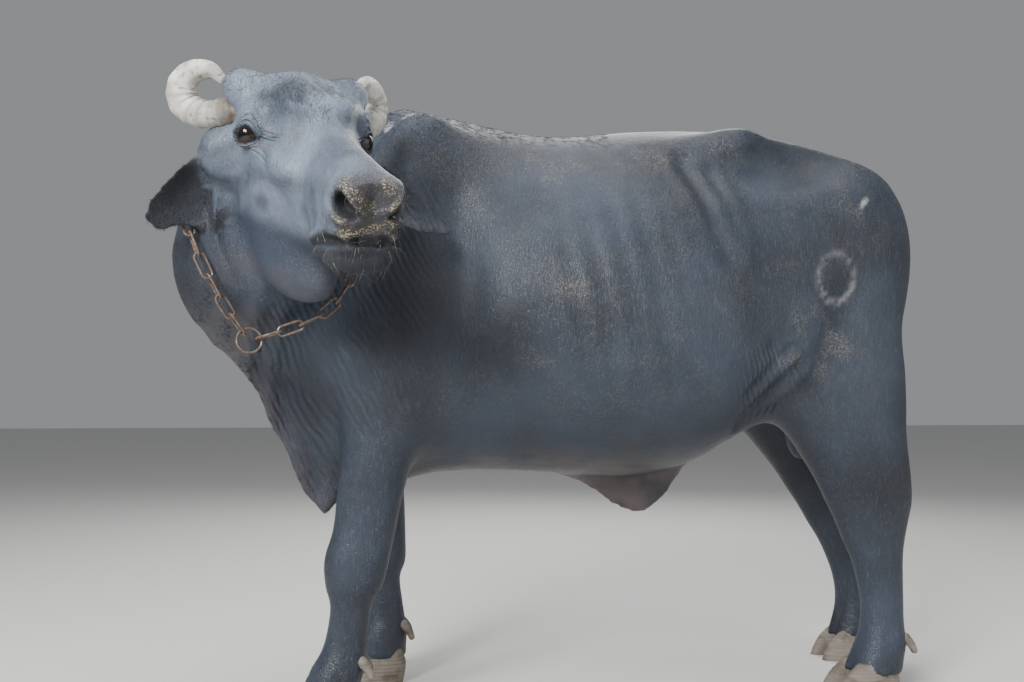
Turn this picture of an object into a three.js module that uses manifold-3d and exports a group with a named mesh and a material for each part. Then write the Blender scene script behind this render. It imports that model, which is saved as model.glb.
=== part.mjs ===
// A life-size water buffalo bull that stands with its head turned to its left and wears a chain collar.
// Millimetres, +Z up. The body runs along X with the rump at +X, and the animal's left side is at -Y.
// Flesh is one smooth field, negative inside. Each part of the body is a tube whose rings are found on
// that field, and the parts are then divided by thin cuts.

import * as THREE from 'three';
import { mergeVertices } from 'three/addons/utils/BufferGeometryUtils.js';
import Module from 'manifold-3d';

const wasm = await Module();
wasm.setup();

const GAP = 0.3;
const HALF_GAP = GAP / 2;

// Trunk rows: place along X, top, bottom, half width
const TRUNK = [
  [-430, 1240, 600, 120],
  [-330, 1318, 520, 185],
  [-257, 1346, 496, 228],
  [-174, 1340, 506, 258],
  [-77, 1322, 510, 292],
  [44, 1303, 505, 326],
  [143, 1306, 497, 346],
  [269, 1322, 494, 356],
  [400, 1332, 520, 350],
  [500, 1334, 572, 322],
  [600, 1326, 618, 292],
  [700, 1306, 662, 262],
  [790, 1276, 724, 222],
  [860, 1238, 810, 168],
  [925, 1180, 930, 90],
];
const TRUNK_WIDEST = 0.42;
const TRUNK_ROUND_TOP = 1.9;
const TRUNK_ROUND_BELLY = 2.35;

// Leg rows: height, place along X, half length, half width, all on a leg that stands square
const FORELEG = [
  [800, -262, 70, 46],
  [670, -282, 95, 72],
  [586, -309, 79, 70],
  [478, -333, 71, 60],
  [400, -345, 67, 55],
  [337, -360, 69, 58],
  [284, -365, 61, 54],
  [245, -371, 45, 43],
  [188, -378, 44, 39],
  [150, -385, 48, 43],
  [115, -397, 57, 53],
  [80, -410, 60, 57],
  [40, -424, 64, 60],
];
const HIND_LEG = [
  [870, 760, 110, 62],
  [760, 738, 160, 88],
  [671, 735, 166, 94],
  [603, 754, 146, 86],
  [545, 775, 130, 76],
  [497, 793, 118, 66],
  [439, 808, 105, 56],
  [396, 814, 90, 50],
  [347, 818, 74, 46],
  [305, 825, 62, 43],
  [255, 831, 54, 42],
  [213, 834, 50, 42],
  [164, 833, 50, 45],
  [123, 829, 56, 53],
  [80, 815, 62, 58],
  [40, 800, 68, 62],
];
const LEG_ROUND = 2.1;
const LEG_FOOT = 36;
const LEG_ROOT = 60;
// Each leg: node name, rows, middle across, set back at the ground, height where the lean ends, cut height
const LEGS = [
  { name: 'leg_front_left', rows: FORELEG, side: -168, lean: 0, leanTop: 560, cut: 590 },
  { name: 'leg_front_right', rows: FORELEG, side: 152, lean: 136, leanTop: 560, cut: 590 },
  { name: 'leg_hind_left', rows: HIND_LEG, side: -172, lean: 0, leanTop: 800, cut: 650 },
  { name: 'leg_hind_right', rows: HIND_LEG, side: 158, lean: 150, leanTop: 800, cut: 650 },
];

// The neck bends round an upright axis beside the near shoulder.
// Neck rows: turn in degrees, distance from the axis, middle height, half thickness, reach up, reach down
const BEND_X = -330;
const BEND_Y = -245;
const NECK = [
  [0, 235, 955, 190, 358, 395],
  [30, 237, 950, 180, 360, 305],
  [60, 240, 945, 176, 332, 222],
  [90, 236, 965, 168, 284, 178],
  [118, 212, 1015, 130, 236, 166],
];
const NECK_ROUND_TOP = 1.45;
const NECK_ROUND_THROAT = 2.1;
const NECK_BACK = 60;
const NECK_BLEND = 90;

// The head has a frame of its own: x toward the muzzle, y to its left, z up from midway between the eyes
const HEAD_MIDDLE = new THREE.Vector3(-463, -485, 1148);
const HEAD_FORWARD = new THREE.Vector3(0.354, -0.828, -0.435).normalize();
const HEAD_UP = new THREE.Vector3(0.086, -0.434, 0.897);
const HEAD_LEFT = new THREE.Vector3().crossVectors(HEAD_UP, HEAD_FORWARD).normalize();
HEAD_UP.crossVectors(HEAD_FORWARD, HEAD_LEFT).normalize();
// Head rows: place along the face, top, bottom, half width above, half width below
const HEAD = [
  [-130, 82, -205, 104, 84],
  [-65, 100, -246, 120, 84],
  [0, 82, -234, 120, 76],
  [65, 54, -210, 94, 60],
  [130, 38, -184, 70, 50],
  [195, 30, -166, 57, 48],
  [260, 22, -152, 56, 50],
  [300, 10, -142, 58, 50],
  [330, -6, -128, 52, 42],
];

const HEAD_ROUND = 2.3;
const HEAD_BLEND = 50;

// Round muscles and bones, mirrored unless central: middle, half sizes, turn about Y, blend width
const SWELLS = [
  { at: [-285, 178, 1075], size: [105, 62, 235], turn: 18, blend: 90 },
  { at: [-352, 165, 800], size: [92, 82, 120], turn: 0, blend: 80 },
  { at: [-235, 185, 760], size: [125, 78, 130], turn: -30, blend: 80 },
  { at: [-380, 0, 640], size: [110, 120, 170], turn: 0, blend: 90, central: true },
  { at: [492, 206, 1252], size: [84, 56, 46], turn: 0, blend: 80 },
  { at: [700, 168, 1090], size: [190, 110, 170], turn: 20, blend: 90 },
  { at: [868, 92, 1168], size: [64, 42, 52], turn: 0, blend: 60 },
  { at: [800, 150, 930], size: [118, 92, 210], turn: 6, blend: 80 },
  { at: [600, 190, 760], size: [70, 60, 110], turn: -20, blend: 90 },
];
const HOLLOWS = [
  { at: [385, 285, 1235], size: [110, 62, 70], turn: 0, blend: 90 },
  { at: [640, 275, 1230], size: [110, 80, 60], turn: -10, blend: 90 },
  { at: [-130, 300, 1180], size: [80, 60, 170], turn: 10, blend: 90 },
];
const HEAD_SWELLS = [
  { at: [-2, 104, 14], size: [44, 20, 32], blend: 26 },
  { at: [-50, 66, -130], size: [92, 38, 84], blend: 40 },
  { at: [60, 76, -38], size: [80, 18, 22], blend: 34 },
  { at: [-70, 98, 62], size: [38, 40, 36], blend: 30 },
  { at: [-86, 120, -60], size: [46, 50, 54], blend: 40 },
  { at: [300, 32, -42], size: [42, 28, 38], blend: 24 },
  { at: [296, 0, -138], size: [46, 42, 24], blend: 20, central: true },
  { at: [30, 0, 62], size: [90, 70, 30], blend: 40, central: true },
  { at: [0, 0, -240], size: [150, 64, 66], blend: 60, central: true },
];

// Eyes, lids, nostrils and mouth, in the head's frame
const EYE = [-2, 101, -8];
const EYE_RADIUS = 26;
const GAZE = [0.34, 0.93, 0.12];
const LID_REACH_ALONG = 62;
const LID_REACH_UP = 44;
const LID_THICK = 9;
const LID_THIN = 6;
const NOSTRIL = [318, 48, -42];
const NOSTRIL_SIZE = [30, 14, 18];
const MOUTH = [
  [200, -50, -156],
  [256, -50, -122],
  [312, -36, -101],
  [336, 0, -94],
  [312, 36, -101],
  [256, 50, -122],
  [200, 50, -156],
];
const MOUTH_GAPE = 3.5;

// Horns: middle line of the right one in the head's frame, and its radius from base to tip
const HORN = [
  [-64, 80, 30],
  [-80, 120, 18],
  [-108, 156, 4],
  [-136, 184, 14],
  [-148, 190, 44],
  [-138, 174, 72],
  [-118, 148, 82],
  [-102, 130, 70],
];
const HORN_RADIUS = [29, 28, 27, 28, 28, 24, 19, 12];
const HORN_FLATNESS = 0.86;

// Ears: root and tip in the head's frame, breadth direction, size
const EARS = [
  { name: 'ear_right', root: [-84, -118, -92], tip: [-97, -270, -208], breadth: [-0.1, -0.55, 0.83] },
  { name: 'ear_left', root: [-84, 118, -92], tip: [14, 331, -183], breadth: [-0.7, 0.35, 0.62] },
];
const EAR_BREADTH = 68;
const EAR_THICK = 5;
const EAR_CUP = 46;

// Feet
const CLAW_LENGTH = 78;
const CLAW_WIDTH = 29;
const CLAW_APART = 31;
const CLAW_ROWS = [
  [0, 0, 1, 1],
  [22, 7, 0.97, 0.98],
  [50, 18, 0.85, 0.93],
  [80, 31, 0.55, 0.66],
];
const CLAW_AHEAD = 33;

// Tail and its switch
const TAIL = [
  [868, 0, 1215, 44],
  [918, 0, 1200, 40],
  [948, 2, 1150, 34],
  [956, 5, 1060, 27],
  [954, 6, 930, 22],
  [954, 4, 780, 18],
  [958, 0, 640, 15],
  [962, -2, 540, 13],
];
const SWITCH_LOCKS = 10;
const SWITCH_TOP = 585;
const SWITCH_BOTTOM = 165;
const SWITCH_CORE = [
  [960, -1, 595],
  [964, -2, 460],
  [966, -2, 300],
];
const SWITCH_CORE_RADII = [16, 17, 6];
const SWITCH_MIDDLE = [962, -2];
const LOCK_RADII = [7, 10, 8, 1.6];
const GOLDEN_ANGLE = 137.5;

// Dewlap: free edge, then the line inside the flesh that it hangs from
const DEWLAP_EDGE = [
  [-578, -300, 838],
  [-612, -208, 800],
  [-614, -130, 735],
  [-590, -86, 662],
  [-546, -60, 570],
  [-494, -48, 468],
  [-452, -42, 404],
  [-424, -40, 392],
  [-400, -38, 436],
  [-384, -36, 500],
];
const DEWLAP_ROOT = [
  [-530, -300, 930],
  [-530, -208, 900],
  [-510, -140, 850],
  [-480, -95, 780],
  [-440, -60, 700],
  [-412, -48, 620],
  [-400, -42, 560],
  [-392, -40, 540],
  [-384, -38, 560],
  [-374, -36, 580],
];
const DEWLAP_THICK = 27;

// Sheath fold under the navel and scrotum: middle along the edge, depth of the edge
const SHEATH_EDGE = [
  [140, 500],
  [195, 462],
  [250, 422],
  [302, 392],
  [338, 402],
  [378, 452],
  [420, 516],
];
const SHEATH_THICK = 27;
const SHEATH_RISE = 96;
const SCROTUM = { at: [728, 0, 606], size: [38, 46, 82] };

// Collar chain
const COLLAR_FACING = [0.25, -0.965, 0.12];
const COLLAR_RING = [-572, -330, 784];
const COLLAR_CLEAR = 23;
const COLLAR_INNER_CLEAR = 12;
const COLLAR_RISE = 290;
const COLLAR_SAMPLES = 120;
const COLLAR_BENDS = 36;
const COLLAR_SMOOTHING = 3;
const COLLAR_SWING = 34;
const COLLAR_LOW_SWING = 30;
const COLLAR_INNER_SWING = 20;
const RING_RADIUS = 24;
const RING_WIRE = 2.4;
const RING_GRIP = 17.5;
const LINK_LENGTH = 56;
const LINK_WIDTH = 26;
const LINK_WIRE = 2.7;
const LINK_PLAY = 1;

// Field helpers
const { abs, max, min, hypot, sin, cos, PI, atan2, pow, round, ceil, sign } = Math;
const mix = (a, b, t) => a + (b - a) * t;
const clamp = (v, low, high) => min(max(v, low), high);
const radians = (degrees) => (degrees * PI) / 180;

function blendIn(a, b, width) {
  const overlap = max(width - abs(a - b), 0) / width;
  return min(a, b) - (overlap * overlap * width) / 4;
}

function carveOut(a, b, width) {
  return -blendIn(-a, b, width);
}

/** Reads rows of sizes at any key with a smooth curve through them. */
function rowsAt(rows, key) {
  const step = rows[1][0] > rows[0][0] ? 1 : -1;
  let index = 0;
  while (index < rows.length - 2 && step * (key - rows[index + 1][0]) > 0) {
    index += 1;
  }
  const here = rows[index];
  const next = rows[index + 1];
  const before = rows[max(index - 1, 0)];
  const after = rows[min(index + 2, rows.length - 1)];
  const span = next[0] - here[0];
  const t = clamp((key - here[0]) / span, 0, 1);
  return here.slice(1).map((value, column) => {
    const end = next[column + 1];
    const slopeIn = ((end - before[column + 1]) / (next[0] - before[0])) * span;
    const slopeOut = ((after[column + 1] - value) / (after[0] - here[0])) * span;
    const t2 = t * t;
    const t3 = t2 * t;
    const start = (2 * t3 - 3 * t2 + 1) * value + (t3 - 2 * t2 + t) * slopeIn;
    return start + (3 * t2 - 2 * t3) * end + (t3 - t2) * slopeOut;
  });
}

/** How far a point of a section lies outside a rounded outline, along the ray from its middle. */
function outside(across, rise, halfWidth, halfHeight, roundness) {
  const distance = hypot(across, rise);
  const powers = pow(abs(across / halfWidth), roundness) + pow(abs(rise / halfHeight), roundness);
  const scaled = pow(powers, 1 / roundness);
  return scaled < 1e-4 ? -min(halfWidth, halfHeight) : distance * (1 - 1 / scaled);
}

function ellipsoid(x, y, z, { at, size, turn = 0 }, mirrored) {
  const dx = x - at[0];
  const dy = y - (mirrored ? -at[1] : at[1]);
  const dz = z - at[2];
  const c = cos(radians(turn));
  const s = sin(radians(turn));
  const u = dx * c - dz * s;
  const w = dx * s + dz * c;
  const scaled = hypot(u / size[0], dy / size[1], w / size[2]);
  return (scaled - 1) * min(...size);
}

function trunkField(x, y, z) {
  const [top, bottom, half] = rowsAt(TRUNK, x);
  const middle = mix(bottom, top, TRUNK_WIDEST);
  const above = z > middle;
  const reach = above ? top - middle : middle - bottom;
  const side = outside(y, z - middle, half, reach, above ? TRUNK_ROUND_TOP : TRUNK_ROUND_BELLY);
  const past = max(TRUNK[0][0] - x, x - TRUNK[TRUNK.length - 1][0]);
  return past > 0 ? hypot(max(side, 0), past) : side;
}

function legMiddle(leg, z) {
  return leg.lean * max(0, 1 - z / leg.leanTop);
}

function legField(leg, x, y, z) {
  const [place, halfLength, halfWidth] = rowsAt(leg.rows, z);
  const side = outside(x - place - legMiddle(leg, z), y - leg.side, halfLength, halfWidth, LEG_ROUND);
  return max(side, z - leg.rows[0][0] - LEG_ROOT);
}

function neckField(x, y, z) {
  const dx = x - BEND_X;
  const dy = y - BEND_Y;
  const last = NECK[NECK.length - 1][0];
  const turn = dx > 0 ? 0 : (atan2(-dx, dy) * 180) / PI;
  const distance = dx > 0 ? dy : hypot(dx, dy);
  const [path, height, thick, up, down] = rowsAt(NECK, clamp(turn, 0, last));
  const above = z > height;
  const round = above ? NECK_ROUND_TOP : NECK_ROUND_THROAT;
  const side = outside(distance - path, z - height, thick, above ? up : down, round);
  const past = dx > 0 ? dx - NECK_BACK : radians(turn - last) * distance;
  return past > 0 ? hypot(max(side, 0), past) : side;
}

const probe = new THREE.Vector3();

function headPlace(x, y, z) {
  probe.set(x, y, z).sub(HEAD_MIDDLE);
  return [probe.dot(HEAD_FORWARD), probe.dot(HEAD_LEFT), probe.dot(HEAD_UP)];
}

function headField(x, y, z) {
  const [along, across, rise] = headPlace(x, y, z);
  const [top, bottom, above, below] = rowsAt(HEAD, along);
  const middle = (top + bottom) / 2;
  const reach = (top - bottom) / 2;
  const lift = clamp((rise - middle) / reach, -1, 1);
  const half = mix(below, above, 0.5 + 0.5 * sin((lift * PI) / 2));
  const side = outside(across, rise - middle, half, reach, HEAD_ROUND);
  const past = max(HEAD[0][0] - along, along - HEAD[HEAD.length - 1][0]);
  let field = past > 0 ? hypot(max(side, 0), past) : side;
  for (const swell of HEAD_SWELLS) {
    field = blendIn(field, ellipsoid(along, abs(across), rise, swell, false), swell.blend);
  }
  return field;
}

/** The trunk with its muscles and the neck. */
function bodyField(x, y, z) {
  let field = trunkField(x, y, z);
  for (const swell of SWELLS) {
    field = blendIn(field, ellipsoid(x, swell.central ? y : abs(y), z, swell, false), swell.blend);
  }
  for (const hollow of HOLLOWS) {
    field = carveOut(field, ellipsoid(x, abs(y), z, hollow, false), hollow.blend);
  }
  return blendIn(field, neckField(x, y, z), NECK_BLEND);
}

function fleshField(x, y, z) {
  return blendIn(bodyField(x, y, z), headField(x, y, z), HEAD_BLEND);
}

function headAndNeckField(x, y, z) {
  return blendIn(neckField(x, y, z), headField(x, y, z), HEAD_BLEND);
}

// Tubes of rings on a field
/** Distance from a point inside, along a direction, to where the field reaches a level. */
function reachTo(field, from, direction, level) {
  const spot = new THREE.Vector3();
  const fieldAt = (reach) => {
    spot.copy(from).addScaledVector(direction, reach);
    return field(spot.x, spot.y, spot.z) - level;
  };
  let near = 0;
  let far = 0;
  for (let step = 0; step < 900; step += 1) {
    const value = fieldAt(far);
    if (value > 0) {
      break;
    }
    near = far;
    far += max(1, -value * 0.5);
  }
  for (let step = 0; step < 18; step += 1) {
    const half = (near + far) / 2;
    const value = fieldAt(half);
    if (value > 0) {
      far = half;
    } else {
      near = half;
    }
  }
  return near;
}

/** Moves every point of a closed round tube. Each is told its row, its angle and whether it closes an end. */
function shapeTube(rows, around, place) {
  const geometry = new THREE.CylinderGeometry(1, 1, 1, around, rows);
  const position = geometry.attributes.position;
  for (let index = 0; index < position.count; index += 1) {
    const x = position.getX(index);
    const z = position.getZ(index);
    const row = round((0.5 - position.getY(index)) * rows);
    const point = place(row, atan2(x, z), hypot(x, z) < 0.5);
    position.setXYZ(index, point.x, point.y, point.z);
  }
  return geometry;
}

/** A tube through rings. A ring has a middle, two directions across it and may tilt along its axis. */
function tubeGeometry(rings, around, surface) {
  return shapeTube(rings.length - 1, around, (row, angle, isMiddle) => {
    const ring = rings[row];
    if (isMiddle && !ring.pole) {
      return ring.middle;
    }
    const tilt = isMiddle ? PI / 2 : ring.tilt || 0;
    const direction = ring.across.clone().multiplyScalar(sin(angle) * cos(tilt));
    direction.addScaledVector(ring.up, cos(angle) * cos(tilt));
    if (tilt) {
      direction.addScaledVector(ring.axis, sin(tilt));
    }
    direction.normalize();
    return ring.middle.clone().addScaledVector(direction, surface(ring, direction, angle));
  });
}

/** A tube whose rings lie on a field, or on the axis of a bend where the field has no edge before it. */
function skinTube(field, rings, around, level = 0) {
  return tubeGeometry(rings, around, (ring, direction) => {
    const reach = reachTo(field, ring.middle, direction, level);
    const inward = ring.inward ? -direction.dot(ring.across) : 0;
    return inward > 0 ? min(reach, ring.inward / inward + level) : reach;
  });
}

// Solids
function toSolid(source) {
  const geometry = source.clone();
  geometry.deleteAttribute('normal');
  geometry.deleteAttribute('uv');
  const merged = mergeVertices(geometry, 1e-3);
  const vertProperties = new Float32Array(merged.attributes.position.array);
  const corner = (i) => new THREE.Vector3().fromArray(vertProperties, merged.index.array[i] * 3);
  const kept = [];
  let volume = 0;
  for (let i = 0; i < merged.index.count; i += 3) {
    const [a, b, c] = merged.index.array.slice(i, i + 3);
    if (a !== b && b !== c && c !== a) {
      kept.push(a, b, c);
      volume += corner(i).dot(corner(i + 1).cross(corner(i + 2)));
    }
  }
  if (volume < 0) {
    kept.reverse();
  }
  const mesh = new wasm.Mesh({ numProp: 3, vertProperties, triVerts: new Uint32Array(kept) });
  return new wasm.Manifold(mesh);
}

const sizeOf = (solid) => abs(solid.volume());

/** The largest closed surface of a solid, as a geometry. */
function toGeometry(solid) {
  const pieces = solid.decompose().sort((a, b) => sizeOf(b) - sizeOf(a));
  const mesh = pieces[0].getMesh();
  const geometry = new THREE.BufferGeometry();
  geometry.setAttribute('position', new THREE.Float32BufferAttribute(mesh.vertProperties, 3));
  geometry.setIndex(new THREE.BufferAttribute(new Uint32Array(mesh.triVerts), 1));
  geometry.computeVertexNormals();
  return geometry;
}

/** Everything on the far side of a plane, as a big block. */
function beyond(point, normal) {
  const reach = 4000;
  const block = new THREE.BoxGeometry(reach, reach, reach);
  block.translate(0, 0, reach / 2);
  const turn = new THREE.Quaternion();
  turn.setFromUnitVectors(new THREE.Vector3(0, 0, 1), normal.clone().normalize());
  block.applyQuaternion(turn);
  block.translate(point.x, point.y, point.z);
  return toSolid(block);
}

const ORIGIN = new THREE.Vector3();
const X_AXIS = new THREE.Vector3(1, 0, 0);
const Y_AXIS = new THREE.Vector3(0, 1, 0);
const Z_AXIS = new THREE.Vector3(0, 0, 1);

function headPoint(along, across, rise) {
  return HEAD_MIDDLE.clone()
    .addScaledVector(HEAD_FORWARD, along)
    .addScaledVector(HEAD_LEFT, across)
    .addScaledVector(HEAD_UP, rise);
}

// Torso
const TORSO_FRONT = -470;
const RUMP_MIDDLE = new THREE.Vector3(690, 0, 1000);
const TORSO_STEPS = 22;
const TORSO_AROUND = 36;
const CORE_HEIGHT = 960;
const CORE_RISES_FROM = 300;
const RUMP_TILTS = [14, 28, 42, 56, 68, 79];

function torsoRings() {
  const rings = [];
  for (let step = 0; step <= TORSO_STEPS; step += 1) {
    const x = mix(TORSO_FRONT, RUMP_MIDDLE.x, step / TORSO_STEPS);
    const share = clamp((x - CORE_RISES_FROM) / (RUMP_MIDDLE.x - CORE_RISES_FROM), 0, 1);
    const rise = mix(CORE_HEIGHT, RUMP_MIDDLE.z, share);
    rings.push({ middle: new THREE.Vector3(x, 0, rise), across: Y_AXIS, up: Z_AXIS, axis: X_AXIS });
  }
  for (const tilt of RUMP_TILTS) {
    rings.push({ middle: RUMP_MIDDLE, across: Y_AXIS, up: Z_AXIS, axis: X_AXIS, tilt: radians(tilt) });
  }
  rings[rings.length - 1].pole = true;
  return rings;
}

// Neck and head share the ring at the nape
const HEAD_AROUND = 32;
const NAPE = -98;
const NAPE_DROP = -50;
const NECK_STEPS = 15;
const NECK_FIRST_TURN = -26;
const NECK_LAST_TURN = 104;
const NECK_CORE_LIFT = 45;
const NECK_NOD_START = 40;
const NAPE_STEPS = 3;
const BEND_CORE = 14;

function napeRing(side) {
  const across = HEAD_LEFT.clone().multiplyScalar(side);
  return { middle: headPoint(NAPE, 0, NAPE_DROP), across, up: HEAD_UP };
}

function neckRings() {
  const rings = [];
  for (let step = 0; step < NECK_STEPS; step += 1) {
    const turn = mix(NECK_FIRST_TURN, NECK_LAST_TURN, step / (NECK_STEPS - 1));
    const [path, height] = rowsAt(NECK, clamp(turn, 0, NECK_LAST_TURN));
    const outward = new THREE.Vector3(-sin(radians(turn)), cos(radians(turn)), 0);
    const middle = new THREE.Vector3(BEND_X, BEND_Y, height + NECK_CORE_LIFT).addScaledVector(outward, path);
    const nod = clamp((turn - NECK_NOD_START) / (NECK[NECK.length - 1][0] - NECK_NOD_START), 0, 1);
    const up = Z_AXIS.clone().lerp(HEAD_UP, nod).normalize();
    const across = outward.lerp(HEAD_LEFT.clone().negate(), pow(nod, 3));
    across.addScaledVector(up, -across.dot(up)).normalize();
    rings.push({ middle, across, up, inward: path - BEND_CORE });
  }
  const last = rings[rings.length - 1];
  const nape = napeRing(-1);
  for (let step = 1; step < NAPE_STEPS; step += 1) {
    const t = step / NAPE_STEPS;
    const up = last.up.clone().lerp(nape.up, t).normalize();
    const across = last.across.clone().lerp(nape.across, t);
    across.addScaledVector(up, -across.dot(up)).normalize();
    rings.push({ middle: last.middle.clone().lerp(nape.middle, t), across, up });
  }
  rings.push(nape);
  return rings;
}

const HEAD_STEPS = 19;
const MUZZLE_START = 262;
const MUZZLE_DROP = -66;
const MUZZLE_TILTS = [16, 32, 47, 61, 74];

function headRings() {
  const rings = [napeRing(1)];
  const frame = { across: HEAD_LEFT, up: HEAD_UP, axis: HEAD_FORWARD };
  for (let step = 1; step <= HEAD_STEPS; step += 1) {
    const along = mix(NAPE, MUZZLE_START, step / HEAD_STEPS);
    rings.push({ ...frame, middle: headPoint(along, 0, mix(NAPE_DROP, MUZZLE_DROP, step / HEAD_STEPS)) });
  }
  const middle = rings[rings.length - 1].middle;
  for (const tilt of MUZZLE_TILTS) {
    rings.push({ ...frame, middle, tilt: radians(tilt) });
  }
  rings[rings.length - 1].pole = true;
  return rings;
}

const LEG_AROUND = 14;
const LEG_STEPS = 13;
const LEG_ROOT_STEPS = 4;
const LEG_ROOT_DROP = 20;

const model = new THREE.Group();

function addNode(name, solid, colour, roughness, metalness = 0) {
  const material = new THREE.MeshStandardMaterial({ color: colour, roughness, metalness });
  const mesh = new THREE.Mesh(toGeometry(solid), material);
  mesh.name = name;
  model.add(mesh);
}

const HIDE = 0x2c3138;
const hide = (name, solid) => addNode(name, solid, HIDE, 0.6);

const napePlane = headPoint(NAPE, 0, 0);
const WITHERS = new THREE.Vector3(-300, 0, 1340);
const BRISKET = new THREE.Vector3(-452, 0, 560);
const neckDirection = new THREE.Vector3().subVectors(BRISKET, WITHERS).cross(Y_AXIS).normalize();
if (neckDirection.x > 0) {
  neckDirection.negate();
}

/** The upper end of a leg, or all of it, as a column. */
function legColumn(leg, top, bottom, steps, level) {
  const rings = [];
  for (let step = 0; step <= steps; step += 1) {
    const z = mix(top, bottom, pow(step / steps, 0.92));
    const [place] = rowsAt(leg.rows, z);
    const middle = new THREE.Vector3(place + legMiddle(leg, z), leg.side, z);
    rings.push({ middle, across: Y_AXIS, up: X_AXIS });
  }
  return toSolid(skinTube((x, y, z) => legField(leg, x, y, z), rings, LEG_AROUND, level));
}

function buildTorso(level) {
  let tube = toSolid(skinTube(bodyField, torsoRings(), TORSO_AROUND, level));
  for (const leg of LEGS) {
    const top = leg.rows[0][0] - LEG_ROOT_DROP;
    tube = tube.add(legColumn(leg, top, leg.cut + HALF_GAP - level, LEG_ROOT_STEPS, level));
  }
  const cut = WITHERS.clone().addScaledVector(neckDirection, level - HALF_GAP);
  return tube.subtract(beyond(cut, neckDirection));
}

const torso = buildTorso(0);
const torsoRoom = buildTorso(GAP);
hide('torso', torso);

function neckTube(level) {
  const tube = toSolid(skinTube(fleshField, neckRings(), HEAD_AROUND, level));
  const rear = WITHERS.clone().addScaledVector(neckDirection, HALF_GAP - level);
  const front = napePlane.clone().addScaledVector(HEAD_FORWARD, level - HALF_GAP);
  const behind = beyond(rear, neckDirection.clone().negate());
  return tube.subtract(behind).subtract(beyond(front, HEAD_FORWARD));
}

const neckRoom = neckTube(GAP);

function buildHead(level) {
  const tube = toSolid(skinTube(headAndNeckField, headRings(), HEAD_AROUND, level));
  const rear = napePlane.clone().addScaledVector(HEAD_FORWARD, HALF_GAP - level);
  return tube.subtract(beyond(rear, HEAD_FORWARD.clone().negate())).subtract(torsoRoom);
}

const headRoom = buildHead(GAP);

/** A closed tube along a curve of points, each with its own radius, with round ends. */
function bentTube(points, radii, steps, around, flatness = 1) {
  const curve = new THREE.CatmullRomCurve3(points);
  const frames = curve.computeFrenetFrames(steps, false);
  const radiusRows = radii.map((radius, index) => [index / (radii.length - 1), radius]);
  const rings = [];
  for (let step = 0; step <= steps; step += 1) {
    const t = step / steps;
    const [radius] = rowsAt(radiusRows, t);
    const axis = frames.tangents[step];
    const middle = curve.getPointAt(t);
    rings.push({ middle, across: frames.normals[step], up: frames.binormals[step], axis, radius });
  }
  const end = rings[rings.length - 1];
  rings.push({ ...end, tilt: radians(40) });
  rings.push({ ...end, tilt: radians(68), pole: true });
  const surface = (ring, direction, angle) => ring.radius * mix(1, flatness, abs(cos(angle)));
  return tubeGeometry(rings, around, surface);
}

/** Turns points of the head's frame into points of the model, on its left side or its right. */
function headPath(points, side = 1) {
  return points.map(([along, across, rise]) => headPoint(along, across * side, rise));
}

function headDirection([along, across, rise]) {
  return headPoint(along, across, rise).sub(HEAD_MIDDLE).normalize();
}

function ball(middle, radius, segments, rings) {
  const geometry = new THREE.SphereGeometry(radius, segments, rings);
  geometry.rotateX(PI / 2);
  return geometry.translate(middle.x, middle.y, middle.z);
}

// Lids: one rim round each eye, thicker above
function lidRim(side) {
  const middle = headPoint(EYE[0], EYE[1] * side, EYE[2]);
  const gaze = headDirection([GAZE[0], GAZE[1] * side, GAZE[2]]);
  const along = HEAD_FORWARD.clone().addScaledVector(gaze, -HEAD_FORWARD.dot(gaze)).normalize();
  const upward = new THREE.Vector3().crossVectors(gaze, along).normalize();
  if (upward.dot(HEAD_UP) < 0) {
    upward.negate();
  }
  const rim = new THREE.TorusGeometry(1, 0.2, 4, 14);
  const position = rim.attributes.position;
  for (let index = 0; index < position.count; index += 1) {
    const x = position.getX(index);
    const y = position.getY(index);
    const angle = atan2(y, x);
    const outward = (hypot(x, y) - 1) / 0.2;
    const raise = position.getZ(index) / 0.2;
    const thick = mix(LID_THIN, LID_THICK, clamp(sin(angle) + 0.3, 0, 1));
    const spreadAlong = radians(LID_REACH_ALONG) * cos(angle);
    const spreadUp = radians(LID_REACH_UP) * sin(angle);
    const direction = gaze.clone().multiplyScalar(cos(spreadAlong) * cos(spreadUp));
    direction.addScaledVector(along, sin(spreadAlong)).addScaledVector(upward, sin(spreadUp)).normalize();
    const sideways = along.clone().multiplyScalar(cos(angle)).addScaledVector(upward, sin(angle));
    sideways.addScaledVector(direction, -sideways.dot(direction)).normalize();
    const point = middle.clone().addScaledVector(direction, EYE_RADIUS + 1 + raise * thick);
    point.addScaledVector(sideways, outward * thick + thick * 0.5);
    position.setXYZ(index, point.x, point.y, point.z);
  }
  return toSolid(rim);
}

function nostrilShape(side, grow) {
  const hole = new THREE.SphereGeometry(1, 12, 8);
  hole.scale(NOSTRIL_SIZE[0] + grow, NOSTRIL_SIZE[1] + grow, NOSTRIL_SIZE[2] + grow);
  hole.rotateY(0.5);
  hole.rotateZ(-0.75 * side);
  const frame = new THREE.Matrix4().makeBasis(HEAD_FORWARD, HEAD_LEFT, HEAD_UP);
  hole.applyMatrix4(frame);
  const middle = headPoint(NOSTRIL[0], NOSTRIL[1] * side, NOSTRIL[2]);
  return toSolid(hole.translate(middle.x, middle.y, middle.z));
}

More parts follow.
